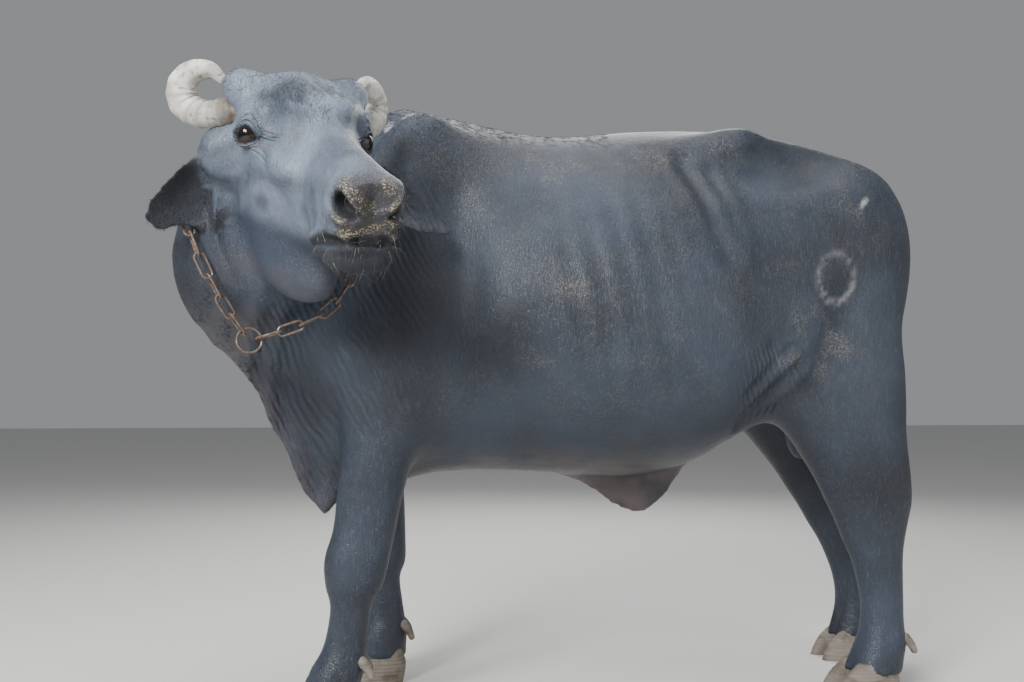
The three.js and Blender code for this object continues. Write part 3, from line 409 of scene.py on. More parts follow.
def dense(points: Sequence[Sequence[float]], count: int) -> Array:
    """Points spread evenly by number along a smooth line through the given ones."""
    points = np.asarray(points, float)
    rows = np.column_stack([np.linspace(0, 1, len(points)), points])
    return rows_at(rows, np.linspace(0, 1, count)).T


# Meshes
def new_object(name: str, mesh: bpy.types.Mesh) -> bpy.types.Object:
    """Links a mesh into the scene as a smooth object of its own."""
    piece = bpy.data.objects.new(name, mesh)
    bpy.context.scene.collection.objects.link(piece)
    mesh.shade_smooth()
    return piece


def from_bmesh(name: str, bm: bmesh.types.BMesh) -> bpy.types.Object:
    """Makes an object of a bmesh and frees it."""
    mesh = bpy.data.meshes.new(name)
    bm.to_mesh(mesh)
    bm.free()
    return new_object(name, mesh)


def places(mesh: bpy.types.Mesh) -> Array:
    """The places of a mesh's vertices."""
    co = np.empty(len(mesh.vertices) * 3)
    mesh.vertices.foreach_get("co", co)
    return co.reshape(-1, 3)


def put_places(mesh: bpy.types.Mesh, co: Array) -> None:
    """Moves a mesh's vertices."""
    mesh.vertices.foreach_set("co", np.ascontiguousarray(co, float).ravel())
    mesh.update()


def normals(mesh: bpy.types.Mesh) -> Array:
    """The vertex normals of a mesh."""
    out = np.empty(len(mesh.vertices) * 3)
    mesh.vertices.foreach_get("normal", out)
    return out.reshape(-1, 3)


def set_attribute(mesh: bpy.types.Mesh, name: str, values: Array) -> None:
    """Stores one number for each vertex."""
    attribute = mesh.attributes.new(name, "FLOAT", "POINT")
    attribute.data.foreach_set("value", np.asarray(values, np.float32))


def applied(piece: bpy.types.Object) -> bpy.types.Object:
    """Applies a piece's modifiers to its mesh."""
    bpy.context.view_layer.update()
    view = bpy.context.evaluated_depsgraph_get()
    mesh = bpy.data.meshes.new_from_object(piece.evaluated_get(view))
    old = piece.data
    piece.modifiers.clear()
    piece.data = mesh
    bpy.data.meshes.remove(old)
    mesh.shade_smooth()
    return piece


def wrapped_sphere(
    name: str, around: int, rows: int, place: Callable[[Array, Array], Array]
) -> bpy.types.Object:
    """A closed form made by moving every point of a ball.

    Args:
        name: The object's name.
        around: Faces round the form.
        rows: Rows from one pole to the other.
        place: Takes the share of the way from pole to pole and the angle, and gives spine-frame points.
    """
    bm = bmesh.new()
    bmesh.ops.create_uvsphere(bm, u_segments=around, v_segments=rows, radius=1)
    co = np.array([vert.co for vert in bm.verts])
    share = np.arccos(np.clip(co[:, 2], -1, 1)) / math.pi
    moved = to_row(place(share, np.arctan2(co[:, 1], co[:, 0])))
    for vert, point in zip(bm.verts, moved):
        vert.co = point
    bmesh.ops.recalc_face_normals(bm, faces=bm.faces)
    return from_bmesh(name, bm)


@dataclass
class Path:
    """A smooth line with a steady frame along it, for tubes."""

    points: Array

    def __post_init__(self) -> None:
        """Spreads points evenly along the line and carries a frame along."""
        line = dense(self.points, 400)
        steps = np.linalg.norm(np.diff(line, axis=0), axis=1)
        self.length = steps.sum()
        run = np.concatenate([[0], np.cumsum(steps)]) / self.length
        even = np.linspace(0, 1, 200)
        self.line = np.column_stack([np.interp(even, run, line[:, k]) for k in range(3)])
        self.tangent = unit(np.gradient(self.line, axis=0))
        side = unit(np.cross(self.tangent[0], (0.3, 0.2, 1.0)))
        sides = []
        for tangent in self.tangent:
            side = unit(side - tangent * (side @ tangent))
            sides.append(side)
        self.side = np.array(sides)
        self.out = np.cross(self.tangent, self.side)

    def at(self, share: Array) -> tuple[Array, Array, Array, Array]:
        """Gives the middle, tangent and two directions across, at shares of the length."""
        index = np.clip(share, 0, 1) * (len(self.line) - 1)
        low = np.minimum(index.astype(int), len(self.line) - 2)
        t = (index - low)[:, None]
        parts = [self.line, self.tangent, self.side, self.out]
        return tuple(part[low] * (1 - t) + part[low + 1] * t for part in parts)


def tube_place(
    path: Path, radius: Callable[[Array, Array], Array], cap: float = 0.06
) -> Callable[[Array, Array], Array]:
    """Makes a wrapped sphere's place function for a tube with round ends."""

    def place(share: Array, angle: Array) -> Array:
        """Places the tube's points."""
        along = np.clip((share - cap) / (1 - 2 * cap), 0, 1)
        middle, tangent, side, out = path.at(along)
        first = np.clip(share / cap, 0, 1)
        last = np.clip((1 - share) / cap, 0, 1)
        near = np.minimum(first, last)
        size = radius(along, angle)
        across = (size * np.sin(near * math.pi / 2))[:, None]
        past = (size * np.cos(near * math.pi / 2) * np.where(first < last, -1, 1))[:, None]
        ring = side * np.cos(angle)[:, None] + out * np.sin(angle)[:, None]
        return middle + ring * across + tangent * past

    return place


# Shader graphs
class Value:
    """An output of a shader graph that can be used in sums."""

    def __init__(self, graph: "Graph", socket: bpy.types.NodeSocket) -> None:
        """Keeps the graph and the socket."""
        self.graph = graph
        self.socket = socket

    def join(self, kind: str, other: "Value | float", swapped: bool = False) -> "Value":
        """Joins this with another value or number by a kind of sum."""
        first, second = (other, self) if swapped else (self, other)
        return self.graph.node("ShaderNodeMath", {"operation": kind}, {0: first, 1: second})

    def __add__(self, other: "Value | float") -> "Value":
        """Adds."""
        return self.join("ADD", other)

    __radd__ = __add__

    def __mul__(self, other: "Value | float") -> "Value":
        """Multiplies."""
        return self.join("MULTIPLY", other)

    __rmul__ = __mul__

    def __sub__(self, other: "Value | float") -> "Value":
        """Subtracts."""
        return self.join("SUBTRACT", other)

    def __rsub__(self, other: "Value | float") -> "Value":
        """Subtracts this from a number."""
        return self.join("SUBTRACT", other, True)

    def wave(self) -> "Value":
        """The sine."""
        return self.graph.node("ShaderNodeMath", {"operation": "SINE"}, {0: self})

    def rise(self, low: float, high: float) -> "Value":
        """Rises softly from 0 at low to 1 at high."""
        settings = {"interpolation_type": "SMOOTHSTEP"}
        return self.graph.node("ShaderNodeMapRange", settings, {0: self, 1: low, 2: high, 3: 0.0, 4: 1.0})

    def fall(self, low: float, high: float) -> "Value":
        """Falls softly from 1 at low to 0 at high."""
        return 1.0 - self.rise(low, high)


class Graph:
    """A material made from nodes."""

    def __init__(self, name: str) -> None:
        """Starts a material with one Principled shader."""
        self.material = bpy.data.materials.new(name)
        self.material.use_nodes = True
        self.nodes = self.material.node_tree.nodes
        self.links = self.material.node_tree.links
        self.nodes.clear()
        self.shader = self.nodes.new("ShaderNodeBsdfPrincipled")
        end = self.nodes.new("ShaderNodeOutputMaterial")
        self.links.new(self.shader.outputs[0], end.inputs[0])

    def node(
        self, kind: str, settings: dict | None = None, values: dict | None = None, output: int = 0
    ) -> Value:
        """Adds a node.

        Args:
            kind: The node's type.
            settings: Its properties.
            values: Its inputs by name or number, as values or constants.
            output: The output to give back.

        Returns:
            That output as a value.
        """
        made = self.nodes.new(kind)
        for key, setting in (settings or {}).items():
            setattr(made, key, setting)
        for key, value in (values or {}).items():
            self.put(made.inputs[key], value)
        return Value(self, made.outputs[output])

    def put(self, socket: bpy.types.NodeSocket, value: object) -> None:
        """Links or sets one input."""
        if isinstance(value, Value):
            self.links.new(value.socket, socket)
        else:
            socket.default_value = value

    def set(self, **values: object) -> None:
        """Sets the shader's inputs. A name's words are joined by underscores."""
        for key, value in values.items():
            self.put(self.shader.inputs[key.replace("_", " ")], value)

    def place(self, scale: Triple = (1.0, 1.0, 1.0)) -> Value:
        """The object's coordinates in metres, scaled along each axis."""
        where = self.node("ShaderNodeTexCoord", output=3)
        return self.node("ShaderNodeVectorMath", {"operation": "MULTIPLY"}, {0: where, 1: scale})

    def along(self, direction: Triple) -> Value:
        """How far the place lies along a direction, in metres."""
        where = self.node("ShaderNodeTexCoord", output=3)
        return self.node("ShaderNodeVectorMath", {"operation": "DOT_PRODUCT"}, {0: where, 1: direction}, 1)

    def noise(
        self, scale: float, detail: float = 4.0, stretch: Triple = (1.0, 1.0, 1.0), warp: float = 0.0
    ) -> Value:
        """Soft noise from 0 to 1."""
        values = {"Vector": self.place(stretch), "Scale": scale, "Detail": detail, "Distortion": warp}
        return self.node("ShaderNodeTexNoise", None, values)

    def cells(self, scale: float, stretch: Triple = (1.0, 1.0, 1.0)) -> Value:
        """The distance to the edge between cells."""
        settings = {"feature": "DISTANCE_TO_EDGE"}
        return self.node("ShaderNodeTexVoronoi", settings, {"Vector": self.place(stretch), "Scale": scale})

    def stored(self, name: str) -> Value:
        """A number stored on the mesh."""
        return self.node("ShaderNodeAttribute", {"attribute_name": name}, None, 2)

    def mix(self, factor: Value | float, first: object, second: object) -> Value:
        """Mixes two colours."""
        settings = {"data_type": "RGBA"}
        return self.node("ShaderNodeMix", settings, {0: factor, 6: colour(first), 7: colour(second)}, 2)

    def bump(self, height: Value, distance: float, strength: float = 1.0) -> None:
        """Raises the surface by a height."""
        values = {"Height": height, "Distance": distance, "Strength": strength}
        self.put(self.shader.inputs["Normal"], self.node("ShaderNodeBump", None, values))


def colour(value: object) -> object:
    """Adds the fourth number to a plain colour."""
    return (*value, 1.0) if isinstance(value, tuple) and len(value) == 3 else value


@dataclass(frozen=True)
class HideFinish:
    """Colours of hide and coat, with painted sheen on the hair and on the upper face."""

    black: Triple = (0.008, 0.009, 0.012)
    slate: Triple = (0.034, 0.046, 0.070)
    # Painted highlight: a blue-grey sheen of light, laid on the hair's lighter streaks.
    painted_sheen: Triple = (0.100, 0.130, 0.190)
    dust: Triple = (0.270, 0.225, 0.175)
    pale: Triple = (0.105, 0.082, 0.078)
    # Painted sheen: the upper face is painted a lighter blue-grey where light catches it.
    face: Triple = (0.205, 0.250, 0.320)
    pad: Triple = (0.030, 0.030, 0.034)
    straw: Triple = (0.450, 0.365, 0.220)
    scar: Triple = (0.270, 0.265, 0.270)
    rough: float = 0.44

    def paint(self, graph: Graph, lift: float) -> Value:
        """Colours a surface from its stored markings.

        Args:
            graph: The material's graph.
            lift: How much more of the painted sheen it takes than the skin, which makes it lighter.

        Returns:
            The streaks, for the bump.
        """
        streaks = graph.noise(1.0, 3.0, (320.0, 320.0, 38.0), 0.5)
        broad = graph.noise(3.2, 5.0)
        tone = graph.mix(broad.rise(0.30, 0.72) * 0.75 + streaks * 0.25, self.black, self.slate)
        # Painted highlight: the lighter streaks are mixed towards the painted sheen colour.
        tone = graph.mix(streaks.rise(0.52, 0.78) * (0.22 + lift), tone, self.painted_sheen)
        clouds = graph.noise(8.0, 6.0, warp=0.6).rise(0.22, 0.74)
        # Painted sheen on the upper face, in clouds and along the streaks.
        tone = graph.mix(graph.stored("face") * clouds * (0.45 + streaks * 0.8), tone, self.face)
        pale = graph.stored("pale") * graph.noise(14.0, 5.0).rise(0.25, 0.65)
        tone = graph.mix(pale, tone, self.pale)
        fleck = graph.noise(260.0, 10.0).rise(0.46, 0.66) * graph.noise(15.0, 8.0).rise(0.38, 0.66) * 0.7
        dusty = graph.stored("dust") * fleck
        tone = graph.mix(dusty, tone, self.dust)
        crumbs = graph.noise(340.0, 8.0, (1.0, 1.0, 1.5), 0.8).rise(0.53, 0.62)
        straw = crumbs * graph.noise(30.0, 6.0).rise(0.44, 0.60) * 0.95
        tone = graph.mix(graph.stored("pad"), tone, graph.mix(straw, self.pad, self.straw))
        tone = graph.mix(graph.stored("scar") * graph.noise(75.0, 6.0).rise(0.25, 0.6), tone, self.scar)
        # The dark marking holds the real black of lips, nostrils, lid rims and chin, the darker cheek spot
        # and ear insides, and painted shade at the base of the neck.
        tone = graph.mix(graph.stored("dark"), tone, self.black)
        graph.set(Base_Color=tone, Specular_IOR_Level=0.4)
        rough = self.rough + dusty * 0.3 - graph.stored("pad") * 0.08
        graph.set(Roughness=rough + graph.stored("dark") * 0.3 + (broad - 0.5) * 0.2)
        return streaks

    def skin(self) -> bpy.types.Material:
        """The skin with its wrinkles, pores and short flat hair."""
        graph = Graph("hide_skin")
        streaks = self.paint(graph, 0.0)
        bend = graph.noise(7.0, 4.0) * 22.0
        lines = (graph.along((0.88, 0.10, 0.46)) * 430.0 + bend).wave()
        wrinkle = lines * graph.stored("wrinkle")
        lid = (graph.stored("lid") * 0.62 + graph.noise(42.0, 3.0) * 3.0).wave()
        folds = lid * graph.stored("near_lid")
        leather = graph.cells(190.0).rise(0.0, 0.12)
        height = streaks * 0.45 + wrinkle * 0.62 + folds * 0.75 + leather * 0.22
        graph.bump(height + graph.noise(46.0, 6.0) * 0.9, 0.0022)
        return graph.material

    def coat(self) -> bpy.types.Material:
        """The short hair that stands over the skin, in the same markings."""
        graph = Graph("hide_coat")
        self.paint(graph, 0.05)
        return graph.material


class Finishes:
    """Every material of the scene."""

    def __init__(self) -> None:
        """Makes the materials."""
        hide = HideFinish()
        self.skin = hide.skin()
        self.coat = hide.coat()
        self.horn = self.make_horn()
        self.claw = self.make_claw()
        self.eye = self.make_eye()
        self.long_hair = self.make_hair("switch_hair", (0.012, 0.011, 0.012), (0.085, 0.080, 0.078))
        self.pale_hair = self.make_hair("pale_hair", (0.300, 0.270, 0.240), (0.560, 0.520, 0.470))
        self.steel = self.make_steel()
        self.floor = self.make_floor()

    def make_horn(self) -> bpy.types.Material:
        """Cream-grey rough horn, stained brown near the head."""
        graph = Graph("horn")
        stain = graph.noise(22.0, 6.0)
        rings = graph.stored("ring")
        tone = graph.mix(stain.rise(0.35, 0.68), (0.34, 0.325, 0.29), (0.66, 0.65, 0.60))
        tone = graph.mix(graph.stored("base") * stain.rise(0.2, 0.55), tone, (0.075, 0.052, 0.036))
        tone = graph.mix(graph.noise(120.0, 6.0).rise(0.56, 0.70) * 0.6, tone, (0.075, 0.062, 0.050))
        graph.set(Base_Color=tone, Roughness=0.58 + stain * 0.2)
        graph.bump(graph.noise(85.0, 8.0) + rings * 0.5 + graph.noise(300.0, 3.0) * 0.3, 0.0016)
        return graph.material

    def make_claw(self) -> bpy.types.Material:
        """Pale grey-brown claw horn with level growth lines and dirt."""
        graph = Graph("claw")
        lines = graph.noise(1.0, 4.0, (12.0, 12.0, 260.0), 0.3)
        dirt = graph.noise(30.0, 6.0).rise(0.4, 0.62)
        tone = graph.mix(lines, (0.085, 0.074, 0.064), (0.25, 0.215, 0.175))
        tone = graph.mix(dirt * 0.75, tone, (0.085, 0.062, 0.044))
        graph.set(Base_Color=tone, Roughness=0.62 + lines * 0.15)
        graph.bump(lines + graph.noise(140.0, 4.0) * 0.5, 0.0014)
        return graph.material

    def make_eye(self) -> bpy.types.Material:
        """A dark brown wet eye with a wide pupil and a dusky white at its corners."""
        graph = Graph("eye")
        edge = graph.stored("iris")
        rays = graph.noise(170.0, 3.0)
        brown = graph.mix(rays, (0.006, 0.003, 0.003), (0.014, 0.008, 0.006))
        tone = graph.mix(edge.rise(0.93, 1.06), brown, (0.030, 0.024, 0.022))
        tone = graph.mix(graph.stored("pupil").fall(0.8, 1.05), tone, (0.004, 0.004, 0.005))
        graph.set(Base_Color=tone, Roughness=0.12, Specular_IOR_Level=0.3)
        graph.set(Coat_Weight=0.35, Coat_Roughness=0.03)
        return graph.material

    def make_hair(self, name: str, dark: Triple, light: Triple) -> bpy.types.Material:
        """Long hair, streaked from dark to light."""
        graph = Graph(name)
        graph.set(Base_Color=graph.mix(graph.noise(140.0, 4.0), dark, light), Roughness=0.55)
        return graph.material

    def make_steel(self) -> bpy.types.Material:
        """Worn steel chain with rust."""
        graph = Graph("chain_steel")
        rust = graph.noise(120.0, 8.0).rise(0.36, 0.58)
        orange = graph.mix(graph.noise(260.0, 5.0), (0.060, 0.034, 0.024), (0.150, 0.092, 0.060))
        graph.set(Base_Color=graph.mix(rust, (0.19, 0.175, 0.165), orange), Metallic=1.0 - rust * 0.85)
        graph.set(Roughness=0.38 + rust * 0.42)
        graph.bump(graph.noise(420.0, 5.0), 0.0006)
        return graph.material

    def make_floor(self) -> bpy.types.Material:
        """Plain pale floor."""
        graph = Graph("floor")
        graph.set(Base_Color=(0.62, 0.61, 0.59, 1.0), Roughness=0.8)
        return graph.material


# Markings
@dataclass(frozen=True)
class Patch:
    """A patch on the flank: its middle and half sizes along and up, and its strength."""

    along: float
    rise: float
    length: float
    height: float
    strength: float


DUST = (
    Patch(49, 1175, 110, 48, 0.85), Patch(280, 1205, 115, 50, 0.75), Patch(628, 800, 120, 80, 0.95),
    Patch(80, 899, 50, 32, 0.7), Patch(-15, 742, 60, 44, 0.6), Patch(455, 1230, 50, 75, 0.5),
    Patch(735, 1120, 80, 66, 0.4), Patch(-300, 1180, 60, 70, 0.4), Patch(200, 1310, 260, 26, 0.5),
)
WRINKLES = (
    Patch(-350, 800, 120, 190, 1.0), Patch(-470, 900, 90, 160, 0.8), Patch(520, 700, 90, 90, 0.7),
    Patch(-250, 1010, 90, 150, 0.45), Patch(-500, 650, 120, 210, 0.9),
)
# Painted shade at the front of the shoulder and the base of the neck, where the head and the neck's fold
# shadow it.
SHADES = (Patch(-245, 880, 110, 150, 0.55),)
BRIDGE_SPOT = (100.0, -50.0, 20.0)
CHEEK_SPOT = (41.0, -86.0, -116.0)
SCRATCHES = (
    ((-305, -90, 1271), (-294, -90, 1299)),
    ((-275, -80, 1283), (-260, -80, 1311), (-242, -80, 1333)),
    ((748, -190, 1103), (762, -190, 1122)),
)
SCAR_AT = (681.0, 941.0)
SCAR_SIZE = (46.0, 54.0)


@dataclass(frozen=True)
class Crease:
    """A soft groove in the flank: its line along and up, its depth and its width."""

    line: tuple
    depth: float
    width: float


CREASES = (
    Crease(((359, 1209), (376, 1122), (393, 1036), (410, 967)), 7, 20),
    Crease(((409, 1190), (421, 1102), (438, 1016)), 5, 15),
    Crease(((592, 747), (545, 703), (505, 660), (476, 618)), 6, 13),
    Crease(((558, 779), (511, 731), (469, 682)), 5, 11),
    Crease(((-172, 1100), (-144, 956), (-156, 833), (-201, 700)), 10, 40),
    Crease(((-330, 900), (-300, 800), (-262, 700)), 5, 26),
    Crease(((-420, 960), (-372, 850), (-330, 740)), 5, 20),
    Crease(((640, 700), (690, 800), (700, 900)), 5, 34),
)


def patch_value(points: Array, patches: Sequence[Patch]) -> Array:
    """The strongest of some patches at each point. The far side has them a little shifted."""
    x, y, z = points.T
    shift = np.where(y > 0, 38.0, 0.0)
    found = np.zeros(len(points))
    for patch in patches:
        along, rise = x + shift - patch.along, z - shift * 0.5 - patch.rise
        away = np.hypot(along / patch.length, rise / patch.height)
        found = np.maximum(found, patch.strength * smooth(1.35, 0.35, away))
    return found


def line_distance(points: Array, line: Array) -> Array:
    """The distance from points to a line of dense points."""
    found = np.full(len(points), 1e9)
    for place in line:
        found = np.minimum(found, ((points - place) ** 2).sum(1))
    return np.sqrt(found)


@dataclass(frozen=True)
class Eyelids:
    """The opening between the lids, in degrees on the eye, and the lids' reach from its middle."""

    half_length: float = 55.0
    above: float = 37.0
    below: float = 27.0
    inner: float = 23.5
    lid: float = 7.6
    faded: float = 44.0

    def measure(self, mirrored: Array) -> tuple[Array, Array, Array, Array]:
        """Gives the distance from the lids' edge in degrees, the angle up, the reach and the direction."""
        gaze = unit(GAZE)
        along = unit(np.array([1.0, 0, 0]) - gaze * gaze[0])
        upward = np.cross(along, gaze)
        upward = upward if upward[2] > 0 else -upward
        away = mirrored - np.array(EYE)
        reach = np.linalg.norm(away, axis=1)
        ray = away / np.maximum(reach, 1e-6)[:, None]
        front = np.maximum(ray @ gaze, 0.02)
        turn = np.degrees(np.arctan2(ray @ along, front))
        lift = np.degrees(np.arctan2(ray @ upward, front)) - 0.06 * turn
        share = np.clip(1 - (turn / self.half_length) ** 2, 0, 1) ** 0.72
        opening = np.where(lift > 0, self.above, self.below) * share
        past = np.maximum(np.abs(turn) - self.half_length, 0)
        edge = np.where(past > 0, np.hypot(past, lift), np.abs(lift) - opening)
        edge = np.where(ray @ gaze < 0.05, 90.0, edge)
        return edge, lift, reach, ray


@dataclass
class Face:
    """Lids, nostrils, mouth and folds of the head, moved on the finished skin."""

    lids: Eyelids
    flesh: Flesh
    nostril: Triple = (321.0, 41.0, -45.0)
    nostril_size: Triple = (25.0, 15.0, 16.0)
    nostril_depth: float = 32.0
    lip_depth: float = 6.5
    line_smoothing: int = 40

    def __post_init__(self) -> None:
        """Lays the line between the lips on the flesh."""
        line = from_head(dense([row[1:] for row in MOUTH], 90))
        line = head_place(self.flesh.settle(line, 6, 6.0))
        for _ in range(self.line_smoothing):
            line[1:-1] = (line[:-2] + line[1:-1] + line[2:]) / 3
        self.mouth = line

    def nostril_frame(self) -> Array:
        """The nostril's long axis, its outward axis and its height, as columns."""
        return np.array(Matrix.Rotation(-0.75, 3, "Z") @ Matrix.Rotation(0.3, 3, "Y"))

    def nostril_metric(self, mirrored: Array) -> Array:
        """One on the nostril's rim and zero in its middle, measured across its opening."""
        along, outward, rise = ((mirrored - np.array(self.nostril)) @ self.nostril_frame()).T
        size = self.nostril_size
        rise = rise + 0.22 * along
        taper = 1 - 0.28 * np.clip(along / size[0], -1, 1)
        return np.hypot(along / size[0], rise / (size[2] * taper)) + 9 * (outward < -48)

    def shape(self, points: Array, outward: Array) -> Array:
        """Moves head points of the spine's frame.

        Args:
            points: Points on the head.
            outward: Their normals.

        Returns:
            The moved points.
        """
        side = np.where(head_place(points)[:, 1] < 0, -1.0, 1.0)
        mirrored = mirrored_head(points)
        normal = outward @ HEAD_AXES.T
        normal[:, 1] *= side
        edge, lift, reach, ray = self.lids.measure(mirrored)
        near = (reach < 88) & (edge < 60)
        rim = self.lids.inner + self.lids.lid * smooth(-2.0, 5.5, edge)
        crease = -2.2 * np.exp(-(((edge - 13) / 3.2) ** 2)) * (lift > 0)
        crease += 1.6 * np.exp(-(((edge - 20) / 4.0) ** 2))
        target = rim + (reach - rim) * smooth(9.0, self.lids.faded, edge) + crease * smooth(60, 30, edge)
        mirrored = np.where(near[:, None], np.array(EYE) + ray * target[:, None], mirrored)
        metric = self.nostril_metric(mirrored)
        pit = self.nostril_depth * smooth(1.2, 0.45, metric)
        inward = -self.nostril_frame()[:, 1]
        mirrored = mirrored + inward * pit[:, None]
        ridge = 5.0 * np.exp(-(((metric - 1.5) / 0.35) ** 2)) * smooth(250, 290, mirrored[:, 0])
        away = line_distance(mirrored, self.mouth)
        ridge += 6.5 * np.exp(-(((away - 15) / 7.0) ** 2)) - self.lip_depth * np.exp(-((away / 4.6) ** 2))
        cheek = np.exp(-(((mirrored[:, 0] - 60) / 60) ** 2 + ((mirrored[:, 2] + 78) / 14) ** 2))
        rolls = smooth(7, 13, edge) * smooth(54, 30, edge) * smooth(-8, 10, lift) * near
        ridge += 1.5 * np.sin(edge * 0.62) * rolls - 2.5 * cheek
        mirrored = mirrored + normal * ridge[:, None]
        mirrored[:, 1] *= side
        return from_head(mirrored)


@dataclass(frozen=True)
class Ear:
    """One ear: its root, tip and breadth direction in the head's frame, and its sizes."""

    name: str
    root: Triple
    tip: Triple
    breadth: Triple
    half_breadth: float = 68.0
    thick: float = 4.2
    cup: float = 46.0

    def axes(self) -> tuple[Array, Array, Array, Array]:
        """The root, the line to the tip, and the directions of breadth and facing."""
        root, tip = from_head(self.root), from_head(self.tip)
        axis = tip - root
        breadth = np.array(self.breadth) @ HEAD_AXES
        breadth = unit(breadth - axis * (breadth @ axis) / (axis @ axis))
        facing = unit(np.cross(axis, breadth))
        return root, axis, breadth, -facing if facing[1] > 0 else facing

    def sizes(self, share: Array) -> tuple[Array, Array]:
        """Half breadth and cup at a share of the length."""
        inner = 0.09 + np.clip(share, 0, 1) * 0.895
        width = self.half_breadth * np.sin(math.pi * inner**0.6) ** 0.75
        return width, (self.cup * (1 - share) + 10) * width / self.half_breadth

    def local(self, points: Array) -> tuple[Array, Array, Array]:
        """Share of the length, place across the breadth and along the facing."""
        root, axis, breadth, facing = self.axes()
        away = points - root
        share = away @ axis / (axis @ axis)
        return share, away @ breadth + 18 * share * (1 - share), away @ facing

    def settle(self, points: Array, grown: float) -> Array:
        """Moves points of an ear that was grown by some millimetres onto its thin leaf."""
        root, axis, breadth, facing = self.axes()
        share, across, face = self.local(points)
        share = share - 0.01 * grown * smooth(0.4, 1.06, share)
        width, cup = self.sizes(share)
        placed = np.clip(across / (width + grown), -1, 1)
        fold = cup * (placed**2 - 0.5)
        turn = np.arctan2((face - fold) / (self.thick + grown), across / (width + grown))
        flat = np.minimum(np.abs(turn), math.pi - np.abs(turn))
        edge = np.maximum(flat - 0.06 * grown, 0) * (math.pi / 2) / (math.pi / 2 - 0.06 * grown)
        turn = np.sign(turn) * np.where(np.abs(turn) > math.pi / 2, math.pi - edge, edge)
        placed = np.cos(turn)
        fold = cup * (placed**2 - 0.5)
        thick = self.thick * (1.4 - 0.75 * np.clip(share, 0, 1))
        rib = 3.2 * np.exp(-(((placed - 0.1) / 0.1) ** 2)) + 2.4 * np.exp(-(((placed + 0.4) / 0.09) ** 2))
        raised = fold + np.sin(turn) * (thick + rib * (np.sin(turn) > 0))
        across = placed * width - 18 * share * (1 - share)
        return root + axis * share[:, None] + breadth * across[:, None] + facing * raised[:, None]


EARS = (
    Ear("ear_right", (-84, -118, -92), (-97, -270, -208), (-0.1, -0.55, 0.83)),
    Ear("ear_left", (-84, 118, -92), (14, 331, -183), (-0.7, 0.35, 0.62)),
)


